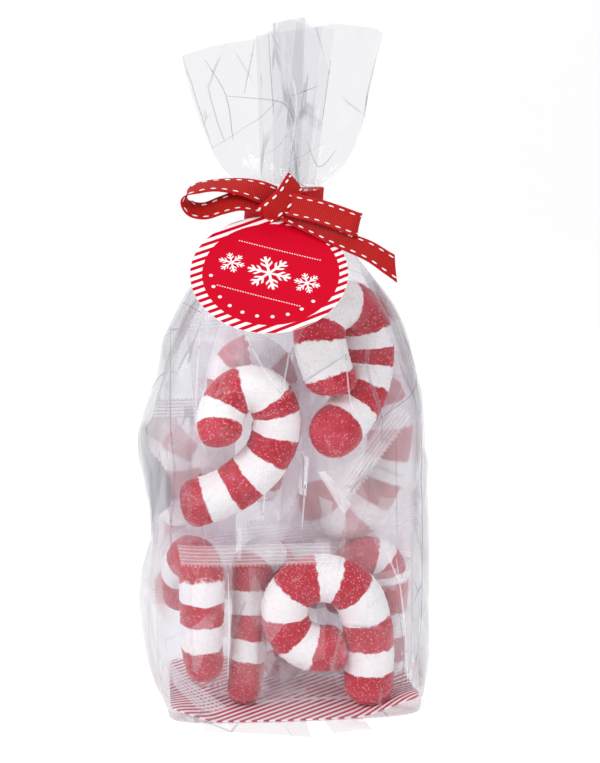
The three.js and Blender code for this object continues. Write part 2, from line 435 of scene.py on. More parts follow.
def creases(u, v, spacing, height, seed, wrap=None):
    """Heights of a creased sheet at u, v: flat facets between scattered points. A ring repeats after wrap."""
    random = np.random.default_rng(seed + 1000)
    low, high = np.array([u.min(), v.min()]), np.array([u.max(), v.max()])
    across = max(int(round((wrap or (high[0] - low[0])) / spacing[0])), 2)
    up = max(int(round((high[1] - low[1]) / spacing[1])), 1) + 2
    wide = wrap or (high[0] - low[0])
    i, j = np.meshgrid(np.arange(across), np.arange(-1, up + 1), indexing="ij")
    shift = random.uniform(-0.45, 0.45, (2,) + i.shape)
    points = np.stack([low[0] + (i + 0.5 * (j % 2) + shift[0]) * wide / across,
                       low[1] + (j + shift[1]) * (high[1] - low[1]) / (up - 1)], -1).reshape(-1, 2)
    heights = random.uniform(-height, height, len(points))
    if wrap:
        points = np.vstack([points - [wrap, 0], points, points + [wrap, 0]])
        heights = np.tile(heights, 3)
        keep = (points[:, 0] > low[0] - 2.5 * spacing[0]) & (points[:, 0] < high[0] + 2.5 * spacing[0])
        points, heights = points[keep], heights[keep]
    else:
        border = [(low[0] - spacing[0], low[1] - spacing[1]), (high[0] + spacing[0], low[1] - spacing[1]),
                  (high[0] + spacing[0], high[1] + spacing[1]), (low[0] - spacing[0], high[1] + spacing[1])]
        points, heights = np.vstack([points, border]), np.append(heights, np.zeros(4))
    made = geometry.delaunay_2d_cdt([Vector(p) for p in points.tolist()], [], [], 0, 1e-6)
    corners = np.array([tuple(p) for p in made[0]])
    source = [owner[0] for owner in made[3]]
    heights = heights[source]
    flat_u, flat_v = u.ravel(), v.ravel()
    result = np.zeros(flat_u.shape)
    for a, b, c in made[2]:
        (ax, ay), (bx, by), (cx, cy) = corners[[a, b, c]]
        area = (bx - ax) * (cy - ay) - (cx - ax) * (by - ay)
        if abs(area) < 1e-9:
            continue
        near = np.nonzero((flat_u >= min(ax, bx, cx)) & (flat_u <= max(ax, bx, cx))
                          & (flat_v >= min(ay, by, cy)) & (flat_v <= max(ay, by, cy)))[0]
        px, py = flat_u[near], flat_v[near]
        wb = ((px - ax) * (cy - ay) - (cx - ax) * (py - ay)) / area
        wc = ((bx - ax) * (py - ay) - (px - ax) * (by - ay)) / area
        inside = (wb >= -1e-6) & (wc >= -1e-6) & (wb + wc <= 1 + 1e-6)
        result[near[inside]] = ((1 - wb - wc) * heights[a] + wb * heights[b] + wc * heights[c])[inside]
    return result.reshape(u.shape)


def grid_normals(points, ring):
    """The unit normal at each point of a grid."""
    if ring:
        across = np.roll(points, -1, 1) - np.roll(points, 1, 1)
    else:
        across = np.gradient(points, axis=1)
    up = np.gradient(points, axis=0)
    return unit(np.cross(across, up))


def sharpness(points, ring, full):
    """How sharply a grid bends at each point, from 0 to 1 at a full bend."""
    normals = grid_normals(points, ring)
    turn = np.linalg.norm(normals - np.roll(normals, 1, 0), axis=-1)
    turn[0] = 0
    side = np.linalg.norm(normals - np.roll(normals, 1, 1), axis=-1)
    if not ring:
        side[:, 0] = 0
    bend = np.maximum(turn, side)
    return np.clip((bend - 0.2 * full) / full, 0, 1)


def mean_around(grid):
    """The mean of each point's four neighbours in a grid."""
    return (np.roll(grid, 1, 0) + np.roll(grid, -1, 0) + np.roll(grid, 1, 1) + np.roll(grid, -1, 1)) / 4


def smoothstep(t):
    t = np.clip(t, 0, 1)
    return t * t * (3 - 2 * t)


# Bag

SHOULDER, NECK_LOW, NECK_MIDDLE, NECK_HIGH, NECK_PLEATS, FOOT_BOW = 150, 213.5, 221, 229.0, 34, 3.2
FAN_THICKNESS, FAN_WAVE = 4.0, 4.5
GIRTH, OFF_FLOOR, SKIN, FILM_GAP = 390.0, 0.15, 0.9, 1.5

# The canes' reach towards the front is kept on a grid of 1 mm, out to each side and up to a top.
REACH_SIDE, REACH_TOP = 66.0, 200.0

# Height, left, right, front, back, squareness, left and right gusset push.
LEVELS = np.array([
    [0, -56.5, 56.5, -37, 37, 9, 0, 0],
    [1.5, -58, 58, -38.5, 38.5, 9, 0, 0],
    [25, -64.6, 62.6, -40.5, 40, 6, -1, 1],
    [50, -66.7, 62.8, -41.3, 41, 5.5, 0, 2],
    [80, -65.8, 62.4, -41, 40.5, 5.5, 6, 4],
    [112, -65.8, 62.2, -40.8, 40.5, 5, 0, 3],
    [124, -66.0, 61.6, -40.6, 40.5, 5, 0, 3],
    [134, -63.4, 60.2, -40.3, 40, 5, 2, 3],
    [147, -59.3, 57.6, -39.5, 38.5, 4.5, 4, 4],
    [163, -54, 53.4, -38.3, 36, 4, 6, 6],
    [180, -47, 45, -37.5, 31.5, 3.5, 7, 7],
    [192, -38.6, 36.5, -36, 26, 3, 5, 5],
    [200, -32, 30, -32, 21.5, 2.6, 3, 3],
    [207, -25.5, 22.5, -24.2, 15.5, 2.3, 1, 1],
    [NECK_LOW, -18.2, 13.4, -10.2, 10.2, 2, 0, 0],
    [NECK_HIGH, -18.2, 13.4, -10.2, 10.2, 2, 0, 0],
])
FAN_SIDES = np.array([[0, -18.2, 13.4], [0.06, -24.5, 19], [0.14, -29.5, 24], [0.25, -33.5, 28.6],
                      [0.45, -38, 33.2], [0.65, -41.5, 35.5], [0.85, -44.5, 38], [1, -46, 40.6]])
FAN_TOP = np.array([[-1, 283], [-0.7, 287], [-0.3, 290], [-0.06, 294], [0, 297.5], [0.2, 299.5],
                    [0.27, 294.5], [0.5, 296.5], [0.9, 294.5], [1, 292]])


# Columns and rows of the bag's grid that its side pleats cover.
LEFT_PLEAT, RIGHT_PLEAT, PLEAT_ROWS = range(-24, 57), range(118, 192), slice(6, 142)

# The left side pleat is folded several times inside this outline of x and z; its inner layer there is painted
# solid grey, as the shade of those folds.
DEEP_PLEAT = [(-71.9, 124.1), (-65.5, 122.2), (-56.7, 114.6), (-53.1, 109.1), (-53.2, 99.1),
              (-59.3, 90.7), (-60.1, 79.7), (-67, 65.3), (-68.6, 51.2), (-74.3, 51.4)]


# Paths of x and z of the film's sharpest creases: strips along the first are painted grey as shade, along the
# second pale as highlights.
SHADE_CREASES = [
    [(-47.4, 182.4), (-38.5, 178.9)], [(-52.1, 172.4), (-52.9, 134.4), (-51.8, 113.8), (-53.9, 83.8)],
    [(44.4, 170.8), (50.9, 154.6), (49.3, 145.6), (30.9, 132.7)], [(41.3, 126.4), (42.5, 81.2)],
    [(52.5, 132.2), (54.1, 80.9), (53.9, 35.8)], [(-14.9, 289.7), (-19.3, 267.3)],
    [(-9, 293), (-7, 258.9)], [(-26.9, 266.5), (-4, 263.9), (1.9, 255.5)], [(0.2, 266.4), (12.2, 270.6)],
    [(-61.2, 144.4), (-55.7, 152.3), (-50.3, 155.1)], [(43.2, 54.3), (46.2, 26.9), (43.8, 8.6)],
    [(-35.6, 281.5), (-26.9, 266.5), (-24.1, 248)], [(17.2, 281.4), (13.9, 256.3)],
    [(7.1, 247.9), (12.2, 236.8), (20, 243.5)]]
HIGHLIGHT_CREASES = [
    [(-22.2, 171.9), (-14.4, 157), (-5.3, 143.7)], [(-2.3, 168.6), (-6.5, 145.4)],
    [(-13.3, 112.9), (-14.7, 91.6)], [(3.9, 119.5), (1.9, 86.7)],
    [(-29.6, 69), (-29.4, 43.1), (-30.1, 20.9)], [(42.2, 73.2), (46, 45.2), (48.1, 15.8)],
    [(19.7, 166.2), (22, 142.7), (27.1, 134.1)], [(-1, 281.4), (2.8, 264.7), (0.6, 243.7)],
    [(13, 264.7), (9.7, 243.6)], [(-40.2, 173.1), (-42.4, 135.5), (-38.4, 122.6)],
    [(36.9, 79.1), (44, 63.3), (47.8, 72.2)]]


def level_at(height):
    """The bag's level at heights, curved between the rows of the table."""
    z = LEVELS[:, 0]
    i = np.clip(np.searchsorted(z, height, "right") - 1, 0, len(z) - 2)
    before, after = np.maximum(i - 1, 0), np.minimum(i + 2, len(z) - 1)
    span = (z[i + 1] - z[i])[:, None]
    t = (np.clip(height, 0, NECK_HIGH) - z[i])[:, None] / span
    a, b = LEVELS[i], LEVELS[i + 1]
    enter = (b - LEVELS[before]) / (z[i + 1] - z[before])[:, None] * span
    leave = (LEVELS[after] - a) / (z[after] - z[i])[:, None] * span
    return (a * (2 * t ** 3 - 3 * t ** 2 + 1) + enter * (t ** 3 - 2 * t ** 2 + t)
            + b * (3 * t ** 2 - 2 * t ** 3) + leave * (t ** 3 - t ** 2))


def square_points(count):
    """Points round a unit square, from the middle of the left side round the front."""
    d = 8 * np.arange(count) / count
    x = np.select([d < 1, d < 3, d < 5, d < 7], [-1 + 0 * d, d - 2, 1 + 0 * d, 6 - d], -1)
    y = np.select([d < 1, d < 3, d < 5, d < 7], [-d, -1 + 0 * d, d - 4, 1 + 0 * d], 8 - d)
    return x, y


def body_rings(heights, count, crisp=0.0):
    """Rings of the filled body and the neck. Crisp ones have flat panels with an edge down each corner."""
    level = level_at(np.asarray(heights, float))
    high, left, right, front, back, power, push_left, push_right = [c[:, None] for c in level.T]
    px, py = (c[None, :] for c in square_points(count))
    norm = (np.abs(px) ** power + np.abs(py) ** power) ** (1 / power)
    if crisp:
        wide, deep = np.abs(px), np.abs(py)
        slant = np.where(px < 0, 0.82 * wide + 0.305 * deep, 0.86 * wide + 0.27 * deep)
        panels = (np.abs(px) ** 24 + np.abs(py) ** 24 + slant ** 24) ** (1 / 24)
        share = crisp * (1 - smoothstep((high - SHOULDER) / 45)) * smoothstep(high / 30)
        norm = norm + (panels - norm) * share
    on_side = np.where(np.abs(px) == 1, np.maximum(1 - (py / 0.6) ** 2, 0), 0)
    push = on_side * np.where(px < 0, push_left, -push_right)
    x = (left + right) / 2 + px / norm * (right - left) / 2 + push
    y = (front + back) / 2 + py / norm * (back - front) / 2
    return np.stack([x, y, np.broadcast_to(level[:, :1], x.shape)], -1)


def fan_place(count):
    i = np.arange(count)
    half = count // 2
    return np.where(i <= half, i, count - i) / (half / 2) - 1


def fan_wave(place, share):
    waves = 0.6 * np.sin(2.2 * np.pi * place + 0.6) + 0.4 * np.sin(4.3 * np.pi * place + 2)
    return FAN_WAVE * share ** 0.6 * waves * (1 - place ** 4)


def fan_rings(shares, count):
    place, share = fan_place(count)[None, :], np.asarray(shares, float)[:, None]
    left, right = (np.interp(share, FAN_SIDES[:, 0], FAN_SIDES[:, k]) for k in (1, 2))
    front = np.where(np.arange(count) <= count // 2, -1, 1)[None, :]
    half = FAN_THICKNESS / 2 * np.sqrt(np.maximum(1 - place ** 2, 0))
    top = np.interp(place, FAN_TOP[:, 0], FAN_TOP[:, 1])
    x = left + (right - left) * (place + 1) / 2
    y = fan_wave(place, share) + front * half
    z = NECK_HIGH + (top - NECK_HIGH) * share
    neck = body_rings([NECK_HIGH], count)[0][None, :, 1]
    y = neck + (y - neck) * smoothstep(share / 0.3)
    return np.stack([x + 0 * y, y, z], -1)


def set_film_map(piece, grid_u, grid_v, girth=None):
    """A map for the film's material, in metres along the sheet. A ring's last column runs on by girth."""
    layer = piece.data.uv_layers.new(name="film")
    count, faces = len(piece.data.loops), len(piece.data.polygons)
    index, starts, totals = np.empty(count, np.int32), np.empty(faces, np.int32), np.empty(faces, np.int32)
    piece.data.loops.foreach_get("vertex_index", index)
    piece.data.polygons.foreach_get("loop_start", starts)
    piece.data.polygons.foreach_get("loop_total", totals)
    loop_u, loop_v = (np.asarray(values, float).ravel()[index] for values in (grid_u, grid_v))
    if girth is not None:
        whole = np.asarray(girth, float).ravel()[index]
        highest = np.maximum.reduceat(loop_u, starts)[np.repeat(np.arange(faces), totals)]
        loop_u = np.where(highest - loop_u > whole / 2, loop_u + whole, loop_u)
    layer.data.foreach_set("uv", (np.stack([loop_u, loop_v], 1) * MM).ravel())


def front_of(lines, xs, zs, side):
    """How far forward (side -1) or back (side 1) ropes reach over a grid of x and z, in millimetres."""
    reach = np.full((len(zs), len(xs)), -1e3)
    for line in lines:
        for x, y, z, radius in line:
            i = np.nonzero(np.abs(xs - x) < radius)[0]
            j = np.nonzero(np.abs(zs - z) < radius)[0]
            if not len(i) or not len(j):
                continue
            gap = radius ** 2 - (xs[i][None, :] - x) ** 2 - (zs[j][:, None] - z) ** 2
            dome = np.where(gap > 0, side * y + np.sqrt(np.maximum(gap, 0)), -1e3)
            block = reach[j[0]:j[-1] + 1, i[0]:i[-1] + 1]
            np.maximum(block, dome, out=block)
    return reach


def film_push(round_mm, high_mm):
    """How far the film is pushed out: dents on the body, flutes on shoulder and fan, pleats at the neck."""
    low = 1 - smoothstep((high_mm - SHOULDER) / 45)
    shoulder = smoothstep((high_mm - SHOULDER) / 60) * (1 - smoothstep((high_mm - NECK_HIGH) / 24))
    open_fan = smoothstep((high_mm - NECK_HIGH) / 30)
    push = np.zeros(high_mm.shape)
    for spacing, height, seed, share in (((30, 46), 2.0, 11, low), ((14, 34), 1.3, 12, low),
                                         ((9, 62), 1.2, 13, shoulder), ((6, 24), 0.4, 14, shoulder),
                                         ((56, 40), 1.8, 15, open_fan)):
        push += creases(round_mm, high_mm, spacing, height, seed, GIRTH) * share
    neck = np.exp(-((high_mm - NECK_MIDDLE) / 14) ** 2)
    pleats = np.abs(((round_mm / GIRTH * NECK_PLEATS + 0.3 * np.sin(round_mm / 21)) % 1) - 0.5) * 2 - 0.5
    return (push + pleats * neck * 0.8) * smoothstep(high_mm / 10)


def bend_foot(points, high_mm):
    """Bends up the front corners of the bag's foot and bows its front edge, as the card under it is."""
    x = points[..., 0]
    forward = smoothstep((-points[..., 1] - 6) / 32) * (1 - smoothstep(high_mm / 45))
    points[..., 2] += (3.6 * smoothstep((-x - 34) / 22) + 5.6 * smoothstep((x - 26) / 31)) * forward
    points[..., 1] -= FOOT_BOW * forward * np.maximum(1 - (x / 58) ** 2, 0)


def stretch_over(points, reach):
    """Draws the front of the film out like a tent over the canes that reach past it."""
    x, y, z = np.moveaxis(points.copy(), -1, 0)
    i = np.clip(np.rint(x + REACH_SIDE).astype(int), 0, reach.shape[1] - 1)
    j = np.clip(np.rint(z).astype(int), 0, reach.shape[0] - 1)
    ahead = (z < 198) & (np.abs(x) < 60) & (y < -15)
    plane = -level_at(np.arange(float(reach.shape[0])))[:, 3:4] - SKIN
    tent = start = np.maximum(reach + FILM_GAP - plane, 0)
    for _ in range(160):
        tent = np.maximum(mean_around(tent), start)
    pushed = np.minimum(y - tent[j, i] * smoothstep((-y - 22) / 14), -reach[j, i] - FILM_GAP)
    points[..., 1] = np.where(ahead, pushed, y)


def make_bag_film(reach):
    """The outer film, creased, gathered and open at the top, its sharp bends painted pale as highlights; then
    strips of painted shade and painted highlight along its sharpest creases, and its pleats' inner layers,
    painted grey as shade.
    """
    columns, body_rows, fan_rows = 336, 168, 78
    heights = np.concatenate([[0, 0.6], np.linspace(1.5, NECK_HIGH, body_rows)])
    points = np.concatenate([body_rings(heights, columns, 0.9),
                             fan_rings(np.linspace(0, 1, fan_rows + 1)[1:], columns)])
    rows = len(points)
    round_mm = np.arange(columns)[None, :] * (GIRTH / columns) + np.zeros((rows, 1))
    high_mm = points[:, :, 2].copy()
    normals = grid_normals(points, True)
    points = points + normals * (film_push(round_mm, high_mm) - SKIN)[..., None]
    bend_foot(points, high_mm)
    stretch_over(points, reach)
    points[:, :, 2] = np.maximum(points[:, :, 2], OFF_FLOOR)
    points[0, :, 2] = OFF_FLOOR
    vertices = points.reshape(-1, 3)
    faces = grid_faces(rows, columns, True)
    middle = len(vertices)
    vertices = np.vstack([vertices, [0, 0, OFF_FLOOR]])
    faces += [(middle, (i + 1) % columns, i) for i in range(columns)]
    film = link_mesh("bag_film", vertices, faces, BAG_FILM)
    # Sharp bends are covered pale by this: painted highlights.
    set_values(film, "fold", np.append(sharpness(points, True, 0.55).ravel() * 0.4, 0))
    girth = np.linalg.norm(points - np.roll(points, 1, 1), axis=-1).sum(1, keepdims=True)
    set_film_map(film, np.append(round_mm * girth / GIRTH, GIRTH / 2), np.append(high_mm, -30.0),
                 np.append(girth + 0 * round_mm, GIRTH))
    film.visible_shadow = False
    return [film, crease_strips("shade_painted_creases", vertices, SHADE_CREASES, 0.55, GREY_SHADE_FILM, 0.42),
            crease_strips("highlight_painted_creases", vertices, HIGHLIGHT_CREASES, 0.75, BAG_FILM, 0.5),
            gusset_layer("gusset_left", points, normals, LEFT_PLEAT, 0.07),
            gusset_layer("gusset_right", points, normals, RIGHT_PLEAT, 0.08)]


def crease_strips(name, surface, paths, width, material, dust_and_painted_light):
    """Thin folds that stand on the front of the bag's film, along paths of x and z, painted as lines of shade
    or of highlight by their material and their cover.
    """
    front = surface[surface[:, 1] < np.where(surface[:, 2] > NECK_HIGH, 6, -12)]
    vertices, faces, along = [], [], []
    for path in paths:
        line, run = smooth_line(path, max(int(total_run(path)), 6))
        way = unit(np.gradient(line, axis=0))
        side = np.stack([-way[:, 1], way[:, 0]], 1)
        near = [np.argsort(((front[:, [0, 2]] - spot) ** 2).sum(1))[:6] for spot in line]
        depth = np.array([front[group, 1].min() for group in near])
        depth = np.convolve(np.pad(depth, 2, "edge"), np.ones(5) / 5, "valid") - 0.35
        taper = np.sin(np.pi * np.clip(np.linspace(0.04, 0.96, len(line)), 0, 1)) ** 0.5 * width / 2
        first = len(vertices)
        for k, (spot, y) in enumerate(zip(line, depth)):
            for step in (-1, 0, 1):
                edge = spot + side[k] * step * taper[k]
                vertices.append((edge[0], y - 0.15 * (step == 0), edge[1]))
                along.append(run[k])
        faces += grid_faces(len(line), 3, False, first)
    piece = link_mesh(name, vertices, faces, material)
    set_values(piece, "fold", np.zeros(len(vertices)))
    set_values(piece, "dust_and_painted_light", np.full(len(vertices), dust_and_painted_light))
    set_film_map(piece, np.array(along) + 1400.0, np.array(vertices)[:, 2])
    piece.visible_shadow = False
    return piece


def inside(outline, x, z):
    """Whether points lie in a closed outline."""
    result = np.zeros(x.shape, bool)
    for (ax, az), (bx, bz) in zip(outline, outline[1:] + outline[:1]):
        crosses = (az > z) != (bz > z)
        result ^= crosses & (x < (bx - ax) * (z - az) / ((bz - az) or 1e-9) + ax)
    return result


def gusset_layer(name, points, normals, columns, dust_and_painted_light):
    """A side pleat's second layer of film, just inside the bag's, painted faintly grey as shade, and solid
    grey, as the shade of its deep folds, inside the left one's deep pleat.
    """
    inset, column_width = 0.7, 1.16
    part = points[PLEAT_ROWS][:, list(columns)] - inset * normals[PLEAT_ROWS][:, list(columns)]
    grey = np.full(part.shape[:2], dust_and_painted_light)
    if name == "gusset_left":
        # The deep pleat is painted solid grey, as shade.
        grey[inside(DEEP_PLEAT, part[..., 0], part[..., 2])] = 1.0
    piece = link_mesh(name, part.reshape(-1, 3), grid_faces(len(part), len(columns), False), GREY_SHADE_FILM)
    set_values(piece, "fold", sharpness(part, False, 0.55).ravel() * 0.3)
    set_values(piece, "dust_and_painted_light", grey)
    set_film_map(piece, np.array(columns)[None, :] * column_width + 0 * part[..., 0] + 700.0, part[..., 2])
    piece.visible_shadow = False
    return piece


def loose_sheet(name, corners, rows, columns, spacing, height, seed, bend=0.0, dust_and_painted_light=0.0, material=BAG_FILM):
    """A creased piece of film between four corners, given from the lower left round to the upper left."""
    a, b, c, d = (np.array(p, float) for p in corners)
    s, t = np.linspace(0, 1, columns)[None, :, None], np.linspace(0, 1, rows)[:, None, None]
    points = (a * (1 - s) + b * s) * (1 - t) + (d * (1 - s) + c * s) * t
    wide, tall = np.linalg.norm(c - d), np.linalg.norm(d - a)
    u, v = s[..., 0] * wide + 0 * t[..., 0], t[..., 0] * tall + 0 * s[..., 0]
    push = creases(u, v, spacing, height, seed) + bend * (1 - (2 * s[..., 0] - 1) ** 2)
    points = points + grid_normals(points, False) * push[..., None]
    piece = link_mesh(name, points.reshape(-1, 3), grid_faces(rows, columns, False), material)
    set_values(piece, "fold", sharpness(points, False, 0.55))
    set_values(piece, "dust_and_painted_light", np.full(points.shape[:2], dust_and_painted_light))
    set_film_map(piece, u + seed * 17.0, v)
    piece.visible_shadow = False
    return piece


def make_loose_film():
    """The folded gusset that stands up in the middle of the fan, painted faintly grey as shade, the folds
    that show under the bag, and three small pale sheets on the front that are painted glints.
    """
    return [
        loose_sheet("fan_gusset_front", ((-7, -2, 229), (4, -3, 229), (6.5, -1.5, 299), (-7.5, -1, 296.5)),
                    60, 20, (9, 34), 0.7, 31, -1.0, 0.06, GREY_SHADE_FILM),
        loose_sheet("fan_gusset_back", ((-12, 3, 229), (8, 3, 229), (14, 1.5, 295.5), (-14, 1.5, 291.5)),
                    60, 26, (13, 30), 0.8, 32, 1.0, 0.03, GREY_SHADE_FILM),
        loose_sheet("fan_gusset_side", ((-4, 0, 229), (11, 0, 229), (19, 0.5, 294), (3, 0, 297)),
                    60, 20, (11, 36), 0.7, 33, 0.5, 0.03, GREY_SHADE_FILM),
        loose_sheet("bottom_fold_left", ((-40, -47, 0.2), (4, -57, 0.2), (4, -38, 0.5), (-42, -36, 0.5)),
                    16, 40, (13, 7), 0.14, 44, 0.3),
        loose_sheet("bottom_fold_right", ((14, -54, 0.2), (31, -51, 0.2), (28, -36, 0.5), (11, -37, 0.5)),
                    14, 20, (9, 6), 0.14, 47, 0.3),
        # Painted glints: small sheets of film covered pale.
        loose_sheet("painted_glint_high",
                    ((1.4, -28, 99.7), (4.6, -30, 98.5), (5.7, -31, 115.5), (2.4, -29, 118.2)),
                    20, 6, (5, 12), 0.3, 36, 0.6, 0.8),
        loose_sheet("painted_glint_right",
                    ((20.5, -33, 91), (23.5, -33, 95.5), (12.5, -33, 110.8), (9, -32, 110)),
                    20, 6, (5, 12), 0.3, 37, 0.6, 0.5),
        loose_sheet("painted_glint_low",
                    ((-25.7, -34, 73.8), (-23.7, -35, 72.4), (-23.2, -35, 86.5), (-24.9, -34, 88)),
                    20, 6, (5, 12), 0.2, 38, 0.4, 0.3)]


# Sachets

# Each sachet: its cane, its middle in x and z, the depth of its bottom and top seals, half its width and
# height, its turn in degrees, and how strongly its film is painted pale, as the reflections of the films in
# front of it.
SACHETS = {
    "sachet_upper_left": ("cane_upper_left", (-20.5, 122), (-37.5, -12), 34.5, 42, 0, 0),
    "sachet_upper_right": ("cane_upper_right", (15, 155), (-33, -6), 35, 39, 30, 0),
    "sachet_swirl": ("cane_swirl", (15, 39), (-24, -22), 34, 38, 2, 0),
    "sachet_lower_left": ("cane_lower_left", (-42.5, 45), (-20, -8), 18, 36, 1, 0.03),
    "sachet_lower_middle": ("cane_lower_middle", (-14, 38), (-14, -2), 22, 38, -2, 0.05),
    "sachet_upper_back": ("cane_upper_back", (-15, 121), (5, 5), 26, 46, 5, 0.3),
    "sachet_left_back": ("cane_left_back", (-43, 84), (18, 18), 20, 39, 0, 0.7),
    "sachet_right_back": ("cane_right_back", (29.5, 109), (8, 8), 31, 46, -5, 0.5),
    "sachet_lower_right": ("cane_lower_right", (34.5, 37), (4, 2), 22, 38, 0, 0.22),
    "sachet_low_back": ("cane_low_back", (6, 33), (8, 20), 22, 32, 3, 0.4),
}
SEAL, RIDGE_PITCH, TOOTH, DRAPE_STEP, SACHET_GAP, EDGE_GAP = 9.0, 1.55, 2.0, 1.1, 0.9, 0.1

# Seals that are bent aside: the middle, the turn in degrees and half the length.
TURNED_SEALS = {("sachet_upper_right", -1): ((32.5, -32, 117.6), 54, 23),
                ("sachet_lower_left", -1): ((-47.5, -35, 14), -39, 18)}


def keep_in_bag(points):
    """Draws points that lie outside the bag's film in to just behind it, and up off the card."""
    high = points[..., 2]
    points[..., 2] = np.where(high < 5, 5 + (high - 5) * 0.12, high)
    level = level_at(points[..., 2].ravel())
    columns = [c.reshape(high.shape) for c in level.T[1:]]
    left, right, front, back, power, push_left, push_right = columns
    middle_x, middle_y = (left + right) / 2, (front + back) / 2
    x, y = points[..., 0] - middle_x, points[..., 1] - middle_y
    half_x = (right - left) / 2 - 3.2 - np.where(x < 0, push_left, push_right) * 0.5
    half_y = (back - front) / 2 - 2.2
    power = np.minimum(power, 5)
    norm = (np.abs(x / half_x) ** power + np.abs(y / half_y) ** power) ** (1 / power)
    pull = 1 / np.maximum(norm, 1)
    points[..., 0], points[..., 1] = middle_x + x * pull, middle_y + y * pull
    return points


def drape(line, half_w, half_h, side, step):
    """How far a sachet's film stands off its middle plane over its cane, on a grid of that plane."""
    coarse = None
    for spacing, rounds in ((step * 4, 500), (step * 2, 260), (step, 130)):
        us = np.arange(-half_w, half_w + spacing / 2, spacing)
        vs = np.arange(-half_h, half_h + spacing / 2, spacing)
        floor = np.maximum(front_of([line], us, vs, side) + SACHET_GAP, EDGE_GAP)
        start = floor
        if coarse is not None:
            old_u, old_v, old = coarse
            row = np.stack([np.interp(us, old_u, r) for r in old])
            start = np.maximum(floor, np.stack([np.interp(vs, old_v, row[:, k]) for k in range(len(us))], 1))
        sheet = start
        for _ in range(rounds):
            sheet = np.maximum(mean_around(sheet), floor)
            sheet[[0, -1]] = EDGE_GAP
            sheet[:, [0, -1]] = EDGE_GAP
        coarse = (us, vs, sheet)
    return coarse


def flat_axes(degrees):
    """The directions along and up a sheet that is turned in the plane of x and z."""
    angle = math.radians(degrees)
    return np.array([math.cos(angle), 0, math.sin(angle)]), np.array([-math.sin(angle), 0, math.cos(angle)])


def sachet_panel(number, side, cane, middle, across, up, half_w, half_h):
    """One film of a sachet: its points, how sharply they fold, and their place on the film's map."""
    us, vs, sheet = drape(cane, half_w, half_h, side, DRAPE_STEP)
    grid_u, grid_v = np.meshgrid(us, vs)
    room = np.clip(np.minimum(half_w - np.abs(grid_u), half_h - np.abs(grid_v)) / 9, 0, 1)
    seed = number * 7 + side
    push = creases(grid_u, grid_v, (18, 24), 1.4, seed) + creases(grid_u, grid_v, (8, 12), 0.4, seed + 50)
    pucker = np.exp(-(half_h - np.abs(grid_v)) / 9.0)
    flutes = creases(grid_u, grid_v, (4.5, 40), 0.9, seed + 90) * pucker
    height = np.maximum(sheet + np.maximum(push, -0.3) * room + flutes * np.minimum(room * 3, 1), 0.08)
    points = middle + grid_u[..., None] * across + grid_v[..., None] * up
    points[..., 1] += side * height
    points = keep_in_bag(points)
    # How sharply the film bends; by this its bends are later painted pale as highlights.
    return points, sharpness(points, False, 0.7) * 0.22, grid_u, grid_v + side * 90.0


def sachet_seal(number, end, origin, way, rise, half, half_h):
    """One crimped seal of a sachet, ribbed along its length and cut zigzag, in the same four parts. Its cover
    is the crimp's own whiteness with painted highlights on the ridge crests, stronger on front and bottom
    seals.
    """
    us = np.arange(-half, half + 0.1, 0.5)
    vs = np.arange(0, SEAL + 0.01, 0.25)
    grid_u, grid_v = np.meshgrid(us, vs)
    teeth = (np.abs(((grid_u / TOOTH) % 1) - 0.5) * 2 - 0.5) * 1.1
    run = grid_v + teeth * np.clip((grid_v - SEAL + 1.2) / 1.2, 0, 1)
    ripple = np.cos(2 * math.pi * grid_v / RIDGE_PITCH)
    dents = creases(grid_u, grid_v, (11, 20), 0.5, number * 3 + end)
    points = origin + grid_u[..., None] * way + (end * run)[..., None] * rise
    points[..., 1] += (0.9 * np.sin(grid_u / 9 + number) + dents) * grid_v / SEAL
    points = keep_in_bag(points)
    points[..., 1] += 0.32 * ripple * np.clip(grid_v, 0, 1)
    # Pale cover on the seal: the crimp's own whiteness, and painted highlights on the ridge crests.
    crimp_white_and_highlight = np.interp(origin[1], [-36, -12, 8], [1.3, 0.6, 0.3]) * (1.0 if end < 0 else 0.4)
    return points, (0.4 + 0.6 * np.maximum(ripple, 0) ** 3) * crimp_white_and_highlight, grid_u, end * (half_h + run)


def make_sachet(number, name, line, centre, depths, half_w, half_h, turn, dust_and_painted_light):
    """A sachet's front and back films, drawn tight over its cane, with a ridged zigzag seal at each end."""
    across, up = flat_axes(turn)
    middle = np.array([centre[0], sum(depths) / 2, centre[1]], float)
    lean = (depths[1] - depths[0]) / (2 * half_h)
    off = line[:, :3] - middle
    cane = np.column_stack([off @ across, off[:, 1] - lean * (off @ up), off @ up, line[:, 3]])
    up = up + np.array([0, lean, 0])
    layers = [sachet_panel(number, side, cane, middle, across, up, half_w, half_h) for side in (-1, 1)]
    for end in (-1, 1):
        origin, way, rise, half = middle + end * half_h * up, across, up, half_w
        if (name, end) in TURNED_SEALS:
            seat, seal_turn, half = TURNED_SEALS[name, end]
            way, rise = flat_axes(seal_turn)
            origin = np.array(seat, float) - end * SEAL / 2 * rise
        layers.append(sachet_seal(number, end, origin, way, rise, half, half_h))
    faces, first = [], 0
    for layer, turned in zip(layers, (False, True, True, False)):
        made = grid_faces(*layer[0].shape[:2], False, first)
        faces += [f[::-1] for f in made] if turned else made
        first += layer[1].size
    folds, map_u, map_v = (np.concatenate([layer[k].ravel() for layer in layers]) for k in (1, 2, 3))
    piece = link_mesh(name, np.vstack([layer[0].reshape(-1, 3) for layer in layers]), faces, SACHET_FILM)
    set_values(piece, "fold", folds)
    # Painted haze over the sachet, as reflections of the films in front, with less of it where its bends are
    # painted pale.
    set_values(piece, "dust_and_painted_light", dust_and_painted_light * np.clip(1.15 - folds, 0.3, 1))
    set_film_map(piece, map_u + number * 140.0, map_v)
    piece.visible_shadow = False
    return piece


# Canes

